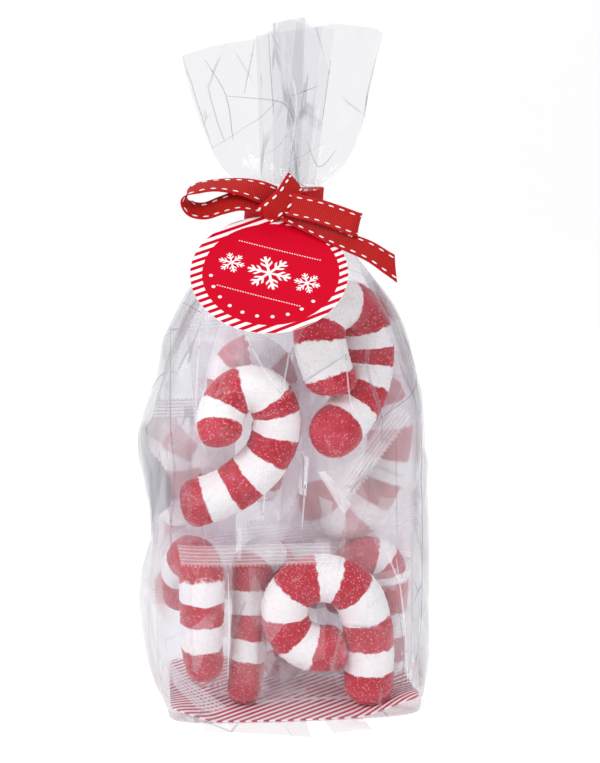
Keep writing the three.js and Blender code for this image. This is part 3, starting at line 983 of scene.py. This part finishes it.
# Each cane: points of its middle line with the rope's radius there, from the hook's end to the foot, and how
# far along it each stripe ends. The first stripe is red.
CANES = {
    "cane_upper_left": (
        [(-32.8, -37, 124.7, 9), (-32.6, -33, 129.3, 9.5), (-31.5, -29, 135.3, 9.8), (-28.4, -27, 141.3, 9.8),
         (-23.3, -26.5, 145, 9.8), (-16.5, -26.5, 145.3, 9.8), (-10.6, -26.5, 141.2, 10),
         (-7.6, -26.5, 133.3, 10.2), (-8.5, -26.5, 123.7, 10.2), (-13.7, -26.5, 113.3, 10.2),
         (-23.2, -26.5, 104.7, 10.2), (-32.6, -26.5, 99.1, 10.2), (-43.8, -26.5, 95.4, 10.2),
         (-49.3, -26.5, 94.2, 9.6)],
        [8, 17.5, 28, 41.4, 48.2, 57.6, 68.2, 79.6, 89.5, 100.8]),
    "cane_upper_right": (
        [(15.9, -30, 142.4, 10), (15.1, -29, 149.1, 10.6), (12.2, -28, 157.6, 10.8), (10.6, -27, 165.1, 11),
         (11.2, -25, 172.5, 11), (15.3, -22, 177.9, 10.8), (21.7, -18, 179.3, 10.6), (28.1, -15, 176.1, 10.6),
         (31.7, -14, 169.3, 10.8), (32.7, -14, 161, 11), (32.6, -15, 152.9, 11), (30.7, -17, 145, 11),
         (26.9, -20, 136.9, 11), (21.2, -25, 130.2, 11), (16.3, -31, 126.5, 11), (13.9, -37, 125.4, 10.4)],
        [9.2, 24.1, 31.8, 48.9, 63.2, 71.2, 79, 87.9, 98.8, 109.6]),
    "cane_swirl": (
        [(22.8, -27, 29.2, 9.6), (16.2, -27, 28.5, 10), (7.9, -27, 29.2, 10.2), (-0.5, -26.5, 33.9, 10.2),
         (-4.4, -26.5, 43.3, 10.2), (-3.1, -27, 52.6, 10.2), (3, -27, 58.8, 10.2), (11.3, -27, 60.8, 10.2),
         (20, -27, 58.7, 10.4), (26.8, -26, 52.7, 10.8), (30.4, -25.5, 44.6, 11), (32.3, -25, 34.6, 11),
         (32.9, -25, 23.9, 11), (33, -25, 12.2, 11), (32.7, -24.5, 2.6, 10.6)],
        [15.2, 24.4, 36.4, 47.4, 60.2, 68.7, 77.9, 91.8, 105.4, 116.2]),
    "cane_lower_left": (
        [(-47.7, 8, 37, 8.6), (-48.1, 7, 44.5, 9), (-48.5, 3, 53.5, 9.2), (-47.6, -4, 61.4, 9.4),
         (-45.1, -12, 67.1, 9.6), (-41.8, -20.5, 67, 9.8), (-40.3, -26.5, 61.2, 9.8), (-40.5, -27, 50.5, 9.6),
         (-40.6, -27, 38.6, 9.2), (-40.3, -26, 27.2, 8.8), (-39.1, -25, 15.6, 7.8)],
        [20.5, 34.7, 57, 65, 75.2, 86.4]),
    "cane_lower_middle": (
        [(-3.8, 4, 47.5, 8.4), (-5.7, 2, 57.3, 8.6), (-11.4, -2, 63.4, 8.8), (-16.6, -6, 61.6, 8.8),
         (-17.7, -10, 55, 8.8), (-18.4, -13, 44.5, 8.4), (-19.1, -16, 33, 8.2), (-20.6, -18, 20.7, 7.8),
         (-22.1, -19, 7, 7.4), (-22.2, -19, 1.8, 7)],
        [16, 26.6, 39, 49.6, 60.2, 69.5]),
    "cane_upper_back": (
        [(-26.4, 2, 126, 9.4), (-26.7, 2, 138.5, 9.6), (-24.4, 2, 148.3, 9.6), (-17.6, 2, 153.6, 9.6),
         (-10, 2, 151.1, 9.6), (-6.1, 2, 142, 9.6), (-5.7, 2, 129.8, 9.6), (-8.3, 3, 116, 9.6),
         (-11.8, 4, 102.1, 9.6), (-15, 4, 88.1, 9.2)],
        [0.1, 8, 17.5, 23.5, 31.5, 41, 50.5, 60.5, 71.5, 83, 97.4]),
    "cane_left_back": (
        [(-37, 18, 93, 9), (-38.6, 18, 106.3, 9.2), (-43.6, 18, 111, 9.2), (-48.2, 18, 106.1, 9.2),
         (-49.2, 18, 96.5, 9.2), (-48.3, 18.5, 86.1, 9.2), (-47, 19.5, 75, 9), (-46.5, 21, 63, 8.8)],
        [8.8, 18.4, 27.1, 33, 45.5, 58]),
    "cane_right_back": (
        [(39.5, 10, 140.5, 9.6), (43.2, 10, 130.3, 9.8), (45.9, 9, 119, 9.8), (45.0, 8, 107.2, 9.8),
         (41.3, 7, 95, 9.8), (36.0, 7, 84.3, 9.6), (28.9, 7, 77, 9.4), (20.4, 6, 77, 9.4),
         (14.3, 5, 84.5, 9.4), (12.1, 4, 95, 9.2)],
        [11, 22.4, 36.3, 46.3, 56.7, 66, 76, 86]),
    "cane_lower_right": (
        [(25.6, 5, 34, 8.8), (24.5, 4, 47.1, 9), (27.8, 2, 56.9, 9), (35, 0, 61, 9), (42.1, 0, 58.4, 9),
         (44.6, 0, 49.4, 9), (44.2, 0, 39.4, 9), (44.4, 1, 27.5, 9), (44.2, 2, 15.6, 8.8),
         (43.4, 3, 4.5, 8.4)],
        [9.3, 19.6, 35.8, 40, 45.4, 48.7, 62.6, 74.1, 86.5]),
    "cane_low_back": (
        [(16.5, 20, 31, 8.6), (14.6, 20, 41.5, 8.8), (8, 20, 47.4, 8.8), (1.4, 18, 43.8, 8.8),
         (-1.2, 14, 34, 8.8), (-2.3, 9, 23, 8.8), (-3.3, 4, 13, 8.6), (-4.3, 0, 4.5, 8.2)],
        [14, 22.5, 31, 41, 51, 60]),
}


def new_tree(name, *inputs):
    tree = bpy.data.node_groups.new(name, "GeometryNodeTree")
    tree.interface.new_socket("Geometry", in_out="OUTPUT", socket_type="NodeSocketGeometry")
    tree.interface.new_socket("Geometry", in_out="INPUT", socket_type="NodeSocketGeometry")
    for label, kind in inputs:
        tree.interface.new_socket(label, in_out="INPUT", socket_type=kind)
    nodes = Nodes(tree)
    return nodes, nodes.add("NodeGroupInput"), nodes.add("NodeGroupOutput")


def grow(source, nodes, name, values, keep_source=False):
    """Runs a geometry tree on an object and returns the result as a plain mesh object."""
    modifier = source.modifiers.new(name, "NODES")
    modifier.node_group = nodes.tree
    for item in nodes.tree.interface.items_tree:
        if item.in_out == "INPUT" and item.name in values:
            modifier[item.identifier] = values[item.name]
    source.update_tag()
    bpy.context.view_layer.update()
    mesh = bpy.data.meshes.new_from_object(source.evaluated_get(bpy.context.evaluated_depsgraph_get()))
    source.modifiers.remove(modifier)
    mesh.name = name
    piece = bpy.data.objects.new(name, mesh)
    scene.collection.objects.link(piece)
    if not keep_source:
        bpy.data.objects.remove(source)
    return piece


def guide_curve(name, points):
    """A curve object through points, with a radius at each."""
    data = bpy.data.curves.new(name, "CURVE")
    data.dimensions = "3D"
    spline = data.splines.new("POLY")
    spline.points.add(len(points) - 1)
    for spot, (x, y, z, radius) in zip(spline.points, points):
        spot.co = (x * MM, y * MM, z * MM, 1.0)
        spot.radius = radius * MM
    guide = bpy.data.objects.new(name, data)
    scene.collection.objects.link(guide)
    return guide


def rope_tree():
    """A marshmallow rope along a curve: rounded ends, a lumpy skin, and its length stored for the stripes."""
    nodes, start, end = new_tree(
        "marshmallow_rope", ("Ring Spacing", "NodeSocketFloat"), ("Sides", "NodeSocketInt"),
        ("End Roundness", "NodeSocketFloat"), ("Lumps", "NodeSocketFloat"))
    resampled = nodes.add("GeometryNodeResampleCurve", {"mode": "LENGTH"},
                          {"Curve": start.outputs["Geometry"], "Length": start.outputs["Ring Spacing"]})
    parameter = nodes.add("GeometryNodeSplineParameter")
    length = Value(nodes, parameter.outputs["Length"])
    factor = Value(nodes, parameter.outputs["Factor"])
    whole = length / factor.most(0.0001)
    nearest = length.least(whole - length).most(0.0)
    radius = Value(nodes, nodes.add("GeometryNodeInputRadius").outputs[0])
    inward = 1.0 - (nearest / (radius * start_value(nodes, start, "End Roundness"))).least(1.0)
    cap = (1.0 - inward ** 2.6).most(0.0) ** 0.42
    stored = nodes.add("GeometryNodeStoreNamedAttribute", {"data_type": "FLOAT", "domain": "POINT"},
                       {"Geometry": resampled.outputs[0], "Name": "run", "Value": length})
    sized = nodes.add("GeometryNodeStoreNamedAttribute", {"data_type": "FLOAT", "domain": "POINT"},
                      {"Geometry": stored.outputs[0], "Name": "thickness", "Value": radius * cap})
    ring = nodes.add("GeometryNodeCurvePrimitiveCircle", None,
                     {"Resolution": start.outputs["Sides"], "Radius": 1.0})
    thickness = nodes.get("GeometryNodeInputNamedAttribute", "Attribute", {"data_type": "FLOAT"},
                          {"Name": "thickness"})
    rope = nodes.add("GeometryNodeCurveToMesh", None, {
        "Curve": sized.outputs[0], "Profile Curve": ring.outputs["Curve"], "Scale": thickness,
        "Fill Caps": True})
    smooth = nodes.add("GeometryNodeSetShadeSmooth", None, {"Geometry": rope.outputs[0]})
    place = Value(nodes, nodes.add("GeometryNodeInputPosition").outputs[0])
    lumps = nodes.noise(place, 75.0, 2.0) - 0.5 + (nodes.noise(place, 330.0, 3.0) - 0.5) * 0.5
    normal = nodes.add("GeometryNodeInputNormal").outputs[0]
    offset = nodes.add("ShaderNodeVectorMath", {"operation": "SCALE"},
                       {0: normal, "Scale": lumps * start_value(nodes, start, "Lumps")})
    moved = nodes.add("GeometryNodeSetPosition", None,
                      {"Geometry": smooth.outputs[0], "Offset": offset.outputs[0]})
    finish_tree(nodes, moved, end, MARSHMALLOW)
    return nodes


def start_value(nodes, start, name):
    return Value(nodes, start.outputs[name])


def finish_tree(nodes, last, end, material):
    real = nodes.add("GeometryNodeRealizeInstances", None, {"Geometry": last.outputs[0]})
    done = nodes.add("GeometryNodeSetMaterial", None, {"Geometry": real.outputs[0], "Material": material})
    nodes.tree.links.new(done.outputs[0], end.inputs[0])


def sugar_tree():
    """Small crystals scattered over a rope and sunk halfway into it."""
    nodes, start, end = new_tree("sugar_coat", ("Density", "NodeSocketFloat"), ("Grain", "NodeSocketFloat"),
                                 ("Seed", "NodeSocketInt"))
    spots = nodes.add("GeometryNodeDistributePointsOnFaces", None, {
        "Mesh": start.outputs["Geometry"], "Density": start.outputs["Density"],
        "Seed": start.outputs["Seed"]})
    grain = nodes.add("GeometryNodeMeshIcoSphere", None,
                      {"Radius": start.outputs["Grain"], "Subdivisions": 1})
    turn = nodes.add("FunctionNodeRandomValue", {"data_type": "FLOAT_VECTOR"},
                     {"Min": (0.0, 0.0, 0.0), "Max": (6.3, 6.3, 6.3), "Seed": 5})
    size = nodes.add("FunctionNodeRandomValue", {"data_type": "FLOAT"},
                     {"Min_001": 0.45, "Max_001": 1.2, "Seed": 7})
    turned = nodes.add("FunctionNodeEulerToRotation", None, {0: turn.outputs["Value"]})
    placed = nodes.add("GeometryNodeInstanceOnPoints", None, {
        "Points": spots.outputs["Points"], "Instance": grain.outputs["Mesh"], "Rotation": turned.outputs[0],
        "Scale": Value(nodes, size.outputs[1])})
    finish_tree(nodes, placed, end, SUGAR)
    return nodes


def store_bands(cane, ends):
    """Numbers the stripes along a cane from its stored run: 1 where the first ends, 2 at the second's end."""
    run = np.empty(len(cane.data.vertices), np.float32)
    cane.data.attributes["run"].data.foreach_get("value", run)
    count, half, past = len(ends), 7, 60
    marks = np.array([0, max(ends[0] - half, 0.01)] + ends + [ends[-1] + half, ends[-1] + past]) * MM
    numbers = [0.45, 0.5] + list(range(1, count + 1)) + [count + 0.5, count + 0.55]
    set_values(cane, "band", np.interp(run, marks, numbers))


ROPE_ROWS = 90
ROPE = {"Ring Spacing": 0.9 * MM, "Sides": 72, "End Roundness": 0.75, "Lumps": 1.6 * MM}
COAT = {"Density": 380000.0, "Grain": 0.35 * MM}


def make_canes():
    rope, sugar = rope_tree(), sugar_tree()
    pieces, lines = [], {}
    for number, (name, (points, ends)) in enumerate(CANES.items()):
        line, run = smooth_line(points, ROPE_ROWS)
        lines[name] = line[(run > line[0, 3] * 0.9) & (run < run[-1] - line[-1, 3] * 0.9)]
        cane = grow(guide_curve(name + "_line", line), rope, name, ROPE)
        store_bands(cane, ends)
        coat = grow(cane, sugar, name + "_sugar", {**COAT, "Seed": number + 3}, keep_source=True)
        pieces += [cane, coat]
    return pieces, lines


# Card

def make_card():
    """The printed card in the bottom of the bag, its front corners bent up and its front edge bowed."""
    half_x, half_y, thick, rings, count = 54.8, 37.2, 0.5, 14, 180
    across, along = square_points(count)
    rounding = (np.abs(across) ** 14 + np.abs(along) ** 14) ** (1 / 14)
    share = np.linspace(0.02, 1, rings + 1)[:, None]
    x, y = share * half_x * (across / rounding)[None, :], share * half_y * (along / rounding)[None, :]
    forward = smoothstep(-y / half_y)
    lift = (4.6 * smoothstep((-x - 34) / 20) + 6.8 * smoothstep((x - 24) / 31)) * forward
    points = np.stack([x, y - FOOT_BOW * forward * (1 - (x / half_x) ** 2), 0.9 + lift], -1)
    vertices = np.vstack([points.reshape(-1, 3), points.reshape(-1, 3) + [0, 0, thick]])
    top = (rings + 1) * count
    faces = [f[::-1] for f in grid_faces(rings + 1, count, True)] + [tuple(range(count))[::-1]]
    faces += grid_faces(rings + 1, count, True, top) + [tuple(range(top, top + count))]
    low, high = rings * count, (2 * rings + 1) * count
    faces += [(low + i, low + (i + 1) % count, high + (i + 1) % count, high + i) for i in range(count)]
    return link_mesh("base_card", vertices, faces, CARD, smooth=False)


# Ribbon

RIBBON_WIDTH, RIBBON_THICKNESS, RIB_PITCH = 10.0, 0.5, 0.9
STITCH_PITCH, STITCH_RADII = 4.6 * MM, (0.55 * MM, 0.3 * MM, 1.25 * MM)
BAND = {"x": -2.4, "z": NECK_MIDDLE, "alongX": 17, "alongY": 11.7, "tilt": 0.09}

# Each stretch of ribbon: points of its middle line, then the direction across it there.
LEFT_LOOP = [
    (-8, -15.5, 225, -0.3, -0.3, -0.9), (-14, -15.5, 227.6, -0.3, -0.5, -0.8),
    (-22, -15.5, 229.6, -0.1, -0.75, -0.6), (-32.6, -16, 230.3, 0, -0.92, -0.38),
    (-40.9, -17, 228.8, -0.1, -0.93, -0.35), (-44.6, -18, 225, -0.35, -0.85, -0.4),
    (-42.6, -18.5, 221, -0.2, -0.83, -0.52), (-36.9, -18.5, 220, 0, -0.8, -0.6),
    (-29.8, -18, 222.2, 0.1, -0.76, -0.64), (-22.2, -17, 224, 0.1, -0.65, -0.76),
    (-14.5, -16, 223, -0.1, -0.4, -0.9), (-8, -15, 222, -0.2, -0.2, -0.95)]
RIGHT_LOOP = [
    (-4, -19, 223, -0.3, 0, -0.95), (2.6, -22.4, 221.7, -0.3, 0, -0.95),
    (10.7, -26, 220, -0.28, -0.05, -0.96), (18.9, -29, 217.4, -0.26, -0.08, -0.96),
    (24.4, -30.4, 215.4, -0.24, -0.1, -0.97), (26.8, -28.6, 214.6, -0.22, -0.1, -0.97),
    (24, -25.6, 215, -0.22, -0.08, -0.97), (15.8, -21.5, 217.4, -0.25, 0, -0.96),
    (4, -17.5, 220.6, -0.25, 0, -0.96), (-3, -16, 222, -0.25, 0, -0.96)]
TAIL = [
    (-4, -16.5, 220.2, 0, -0.6, -0.8), (1, -19.5, 217, 0.1, -0.77, -0.63),
    (10.5, -24.6, 212.8, 0.1, -0.77, -0.63), (20.4, -30.4, 208.4, 0.08, -0.76, -0.64),
    (30.2, -33.8, 204.4, 0, -0.66, -0.75), (38, -35.6, 199.4, -0.05, -0.55, -0.83),
    (44, -36.4, 195.2, -0.1, -0.5, -0.86)]
KNOT_FRONT = [
    (1.5, -12.5, 231.2, 0.62, 0.1, -0.75), (-0.5, -17.5, 229.3, 0.62, 0.1, -0.75),
    (-3, -20.3, 226, 0.6, 0.15, -0.77), (-6.5, -21, 222.6, 0.6, 0.15, -0.77),
    (-10, -19.6, 219.4, 0.62, 0.1, -0.75), (-12.5, -15.6, 217.4, 0.62, 0.1, -0.75),
    (-12.5, -12, 217.6, 0.62, 0.1, -0.75)]


def band_rows():
    """Rows of the ribbon round the neck, as a closed ring."""
    rows = []
    for angle in np.linspace(0, 2 * math.pi, 97)[:-1]:
        x = BAND["alongX"] * math.cos(angle)
        y, z = BAND["alongY"] * math.sin(angle), BAND["z"] + BAND["tilt"] * x
        rows.append((BAND["x"] + x, y, z, 0, 0, -1))
    return np.array(rows + rows[:1])


def strip_frame(rows, step):
    """Even rows along a strip: its middle line, the way across it, the way out of its face, and the run."""
    line, run = smooth_line(rows, max(int(round(total_run(rows) / step)), 8))
    centre = line[:, :3]
    along = unit(np.gradient(centre, axis=0))
    across = unit(line[:, 3:] - along * np.sum(line[:, 3:] * along, 1, keepdims=True))
    return centre, across, np.cross(along, across), run


def total_run(rows):
    return float(np.sum(np.linalg.norm(np.diff(np.asarray(rows, float)[:, :3], axis=0), axis=1)))


def slanted(cut, side):
    """How much shorter a strip is at a side, from -1 to 1, when its last end is cut slanting."""
    return abs(cut) * (1 + math.copysign(1, cut) * side) / 2


def ribbon_strip(name, rows, cut):
    """A ribbed ribbon along rows, with its two faces and edges closed. A cut slants its last end."""
    centre, across, out, run = strip_frame(rows, RIB_PITCH / 4)
    sides = np.linspace(-1, 1, 15)
    profile = [(s, 1) for s in sides] + [(s, -1) for s in sides[::-1]]
    rib = 0.5 + 0.5 * np.cos(2 * math.pi * run / RIB_PITCH)
    rings, ribs, edges = [], [], []
    along = unit(np.gradient(centre, axis=0))
    for side, face in profile:
        selvedge = np.clip((abs(side) - 0.86) / 0.1, 0, 1)
        height = RIBBON_THICKNESS / 2 * (0.75 + 0.25 * selvedge) + 0.11 * rib * (1 - selvedge)
        bow = 0.35 * (1 - side * side)
        shift = slanted(cut, side) * np.clip((run - run[-1] + 9) / 9, 0, 1)
        rings.append(centre + across * (side * RIBBON_WIDTH / 2) + out * (face * height + bow)[:, None]
                     - along * shift[:, None])
        ribs.append(rib)
        edges.append(np.full_like(run, selvedge))
    grid = np.stack(rings, 1)
    count = grid.shape[1]
    faces = grid_faces(len(grid), count, True)
    last = (len(grid) - 1) * count
    faces += [tuple(range(count))[::-1], tuple(range(last, last + count))]
    piece = link_mesh(name, grid.reshape(-1, 3), faces, RIBBON)
    set_values(piece, "rib", np.stack(ribs, 1))
    set_values(piece, "edge", np.stack(edges, 1))
    return piece


def stitch_tree():
    """Short raised stitches set along curves."""
    nodes, start, end = new_tree("saddle_stitches", ("Pitch", "NodeSocketFloat"),
                                 ("Stitch", "NodeSocketVector"))
    spots = nodes.add("GeometryNodeCurveToPoints", {"mode": "LENGTH"},
                      {"Curve": start.outputs["Geometry"], "Length": start.outputs["Pitch"]})
    ball = nodes.add("GeometryNodeMeshIcoSphere", None, {"Radius": 1.0, "Subdivisions": 3})
    placed = nodes.add("GeometryNodeInstanceOnPoints", None, {
        "Points": spots.outputs["Points"], "Instance": ball.outputs["Mesh"],
        "Rotation": spots.outputs["Rotation"], "Scale": start.outputs["Stitch"]})
    real = nodes.add("GeometryNodeSetShadeSmooth", None, {"Geometry": placed.outputs[0]})
    finish_tree(nodes, real, end, THREAD)
    return nodes


def stitches(name, tree, rows, cut, faces):
    """Two rows of stitches near a strip's edges, on the faces named."""
    step = 0.6
    centre, across, out, _ = strip_frame(rows, step)
    data = bpy.data.curves.new(name + "_line", "CURVE")
    data.dimensions = "3D"
    for face in faces:
        for side in (-0.72, 0.72):
            line = centre + across * (side * RIBBON_WIDTH / 2) + out * (face * 0.34 + 0.17)
            line = line[3:len(line) - 3 - int(slanted(cut, side) / step)]
            spline = data.splines.new("POLY")
            spline.points.add(len(line) - 1)
            corners = np.column_stack([line * MM, np.ones(len(line))]).astype(np.float32)
            spline.points.foreach_set("co", corners.ravel())
    guide = bpy.data.objects.new(name + "_line", data)
    scene.collection.objects.link(guide)
    return grow(guide, tree, name, {"Pitch": STITCH_PITCH, "Stitch": STITCH_RADII})


# Each stretch: its name and rows, the slant of its cut end, and the faces that show stitches.
STRETCHES = [("ribbon_neck", band_rows(), 0, (1,)),
             ("ribbon_left_loop", np.array(LEFT_LOOP), 0, (1, -1)),
             ("ribbon_right_loop", np.array(RIGHT_LOOP), 0, (1, -1)),
             ("ribbon_tail", np.array(TAIL), -7, (1, -1)),
             ("ribbon_knot", np.array(KNOT_FRONT), 0, (1,))]


def make_ribbon():
    """The strips of the ribbon and their stitches, in two lists."""
    tree = stitch_tree()
    strips, threads = [], []
    for name, rows, cut, faces in STRETCHES:
        strips.append(ribbon_strip(name, rows, cut))
        threads.append(stitches(name + "_stitches", tree, rows, cut, faces))
    return strips, threads


# Tag

TAG_RADIUS, TAG_THICKNESS, TAG_CENTRE = 32.3, 0.5, (-11.7, -40.7, 196.8)
TAG_LEAN, TAG_TURN, TAG_SPIN = math.radians(51), math.radians(-5), math.radians(-18.6)
FACE_RADIUS, BORDER_PITCH, BEAD_RING, BEADS = 28.0, 3.45 * 1.414, 23.8, 24


def tag_material():
    """Red card with a border of slanting stripes, snowflakes and dotted rules. Its back is plain white."""
    material, nodes, output = new_material("printed_card")
    spot = nodes.add("ShaderNodeUVMap", {"uv_map": "tag"})
    u, v, _ = nodes.parts(spot.outputs[0])
    u, v = u * 100.0 - 50.0, v * 100.0 - 50.0
    radius = (u * u + v * v) ** 0.5
    stripes = ((u - v) / BORDER_PITCH + 100.0).fract()
    aside = u - 0.7
    border = ((aside * aside + v * v) ** 0.5).step(FACE_RADIUS, FACE_RADIUS + 0.15)
    band = (stripes - 0.5).abs().step(0.235, 0.265)
    rules = 0.0
    for height, reach in ((13.2, 18.0), (-13.2, 18.0)):
        line = 1.0 - (v - height).abs().step(0.16, 0.3)
        dots = ((u / 1.1 + 100.0).fract() - 0.5).abs().step(0.2, 0.3)
        rules = line * dots * (1.0 - u.abs().over(reach)) + rules
    flakes = snowflake(u, v, 9.4)
    flakes = flakes + snowflake(u - 16.5, v + 0.5, 5.6) + snowflake(u + 16.5, v - 0.5, 5.6)
    apart = 2 * math.pi / BEADS
    beads = ((v.math("ARCTAN2", u) / apart + 100.0).fract() - 0.5) * (apart * BEAD_RING)
    ring = radius - BEAD_RING
    bead = 1.0 - ((beads * beads + ring * ring) ** 0.5).step(0.65, 0.9)
    lower = (v * -1.0).over(6.0)
    ornament = (rules + flakes + bead * lower).clamp() * (1.0 - border)
    tooth = nodes.noise(nodes.place(), 900.0, 3.0)
    red = nodes.colour(tooth, srgb(200, 0, 34), srgb(206, 3, 40))
    white = srgb(252, 246, 247)
    face = nodes.colour((ornament + border * band).clamp(), red, white)
    shader = nodes.add("ShaderNodeBsdfPrincipled", None, {
        "Base Color": nodes.colour(nodes.attribute("printed"), white, face), "Roughness": tooth * 0.2 + 0.5,
        "Specular IOR Level": 0.06, "Normal": nodes.bump(tooth, 0.12, 0.0001)})
    show(nodes, output, shader)
    return material


def snowflake(u, v, size):
    """1 on a plain six-armed star of a given reach."""
    radius = (u * u + v * v) ** 0.5
    arm_turn = math.pi / 3
    fold = (((v.math("ARCTAN2", u) / arm_turn + 60.5).fract() - 0.5) * arm_turn).abs()
    along = radius * fold.cos()
    aside = radius * fold.sin()
    arm = (1.0 - aside.step(size * 0.045, size * 0.07)) * (1.0 - along.step(size * 0.97, size))
    branches = 0.0
    for root, reach in ((0.36, 0.24), (0.64, 0.2)):
        slope = (along - aside - root * size).abs()
        short = 1.0 - aside.step(size * reach, size * (reach + 0.03))
        branches = (1.0 - slope.step(size * 0.05, size * 0.08)) * short + branches
    return (arm + branches).clamp()


def make_tag():
    """The round card, a little bowed, in its leaning plane."""
    level = math.cos(TAG_LEAN)
    out = Vector((math.sin(TAG_TURN) * level, -math.cos(TAG_TURN) * level, math.sin(TAG_LEAN)))
    right = Vector((math.cos(TAG_TURN), math.sin(TAG_TURN), 0))
    up = out.cross(right)
    rings, sides = 10, 96
    vertices, flat = [], []
    for face in (1, -1):
        for ring in range(1, rings + 1):
            radius = TAG_RADIUS * ring / rings
            for side in range(sides):
                angle = 2 * math.pi * side / sides
                a, b = radius * math.cos(angle), radius * math.sin(angle)
                bow = 0.5 * (a / TAG_RADIUS) ** 2 - 0.25
                point = Vector(TAG_CENTRE) + right * a + up * b + out * (face * TAG_THICKNESS / 2 + bow)
                vertices.append(tuple(point))
                flat.append((a, b))
    faces = []
    for face in (0, 1):
        first = face * rings * sides
        made = grid_faces(rings, sides, True, first)
        middle = len(vertices)
        centre = Vector(TAG_CENTRE) + out * ((1 - 2 * face) * TAG_THICKNESS / 2 - 0.25)
        vertices.append(tuple(centre))
        flat.append((0, 0))
        fan = [(middle, first + i, first + (i + 1) % sides) for i in range(sides)]
        faces += [f[::-1] for f in made] + fan if face == 0 else made + [f[::-1] for f in fan]
    front, back = (rings - 1) * sides, (2 * rings - 1) * sides
    faces += [(front + i, back + i, back + (i + 1) % sides, front + (i + 1) % sides) for i in range(sides)]
    piece = link_mesh("tag_card", vertices, faces, tag_material(), smooth=False)
    set_values(piece, "printed", [1] * (rings * sides) + [0] * (rings * sides) + [1, 0])
    layer = piece.data.uv_layers.new(name="tag")
    spin_cos, spin_sin = math.cos(-TAG_SPIN), math.sin(-TAG_SPIN)
    turned = [(a * spin_cos - b * spin_sin, a * spin_sin + b * spin_cos) for a, b in flat]
    for loop in piece.data.loops:
        a, b = turned[loop.vertex_index]
        layer.data[loop.index].uv = (a / 100 + 0.5, b / 100 + 0.5)
    return piece


# Put together

def make_sweep():
    """A white floor that turns up into a backdrop, lit so that it reads as plain white."""
    material, nodes, output = new_material("studio_sweep")
    grain = nodes.noise(nodes.place(), 40.0, 2.0)
    show(nodes, output, nodes.add("ShaderNodeBsdfPrincipled", None, {
        "Base Color": nodes.colour(grain, (0.5, 0.5, 0.5, 1), (0.52, 0.52, 0.52, 1)), "Roughness": 0.7,
        "Specular IOR Level": 0.1, "Emission Color": (1, 1, 1, 1), "Emission Strength": 0.62}))
    front, bend, radius, top, half_width = -900, 1300, 500, 1500, 900
    turns = np.linspace(0, math.pi / 2, 17)
    profile = [(front, 0)] + [(bend + radius * math.sin(a), radius - radius * math.cos(a)) for a in turns]
    profile.append((bend + radius, top))
    vertices = [(x, y, z - 0.05) for y, z in profile for x in (-half_width, half_width)]
    faces = [(2 * k, 2 * k + 1, 2 * k + 3, 2 * k + 2) for k in range(len(profile) - 1)]
    link_mesh("sweep", vertices, faces, material)


def light_scene():
    world = bpy.data.worlds.new("studio")
    world.use_nodes = True
    background = world.node_tree.nodes["Background"]
    background.inputs["Color"].default_value = (0.97, 0.98, 1.0, 1.0)
    background.inputs["Strength"].default_value = 0.5
    scene.world = world
    soft_light("key", (-0.5, -0.62, 0.8), (0, 0, 0.14), (0.42, 0.42), 4.6, True)
    soft_light("left_panel", (-1.0, -0.3, 0.3), (0, 0, 0.15), (0.3, 1.0), 3.5, False)
    soft_light("right_panel", (0.95, -0.5, 0.35), (0, 0, 0.15), (0.24, 1.0), 3.5, False)
    soft_light("top_panel", (0.1, 0.2, 1.2), (0, 0, 0.2), (0.7, 0.4), 2.2, True)


def add(piece, node=None):
    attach(piece, "root")
    if node:
        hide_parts(node)


make_sweep()
light_scene()
canes, lines = make_canes()
for piece in canes:
    add(piece)
for number, (name, (held, *shape)) in enumerate(SACHETS.items()):
    add(make_sachet(number, name, lines[held], *shape))
reach = front_of(lines.values(), np.arange(-REACH_SIDE, REACH_SIDE + 1), np.arange(REACH_TOP + 1), -1)
film, *inner_film = make_bag_film(reach)
add(film, "bag")
for piece in inner_film + make_loose_film():
    add(piece)
add(make_card())
strips, threads = make_ribbon()
for strip, thread in zip(strips, threads):
    add(strip, "ribbon")
    add(thread)
add(make_tag(), "tag")
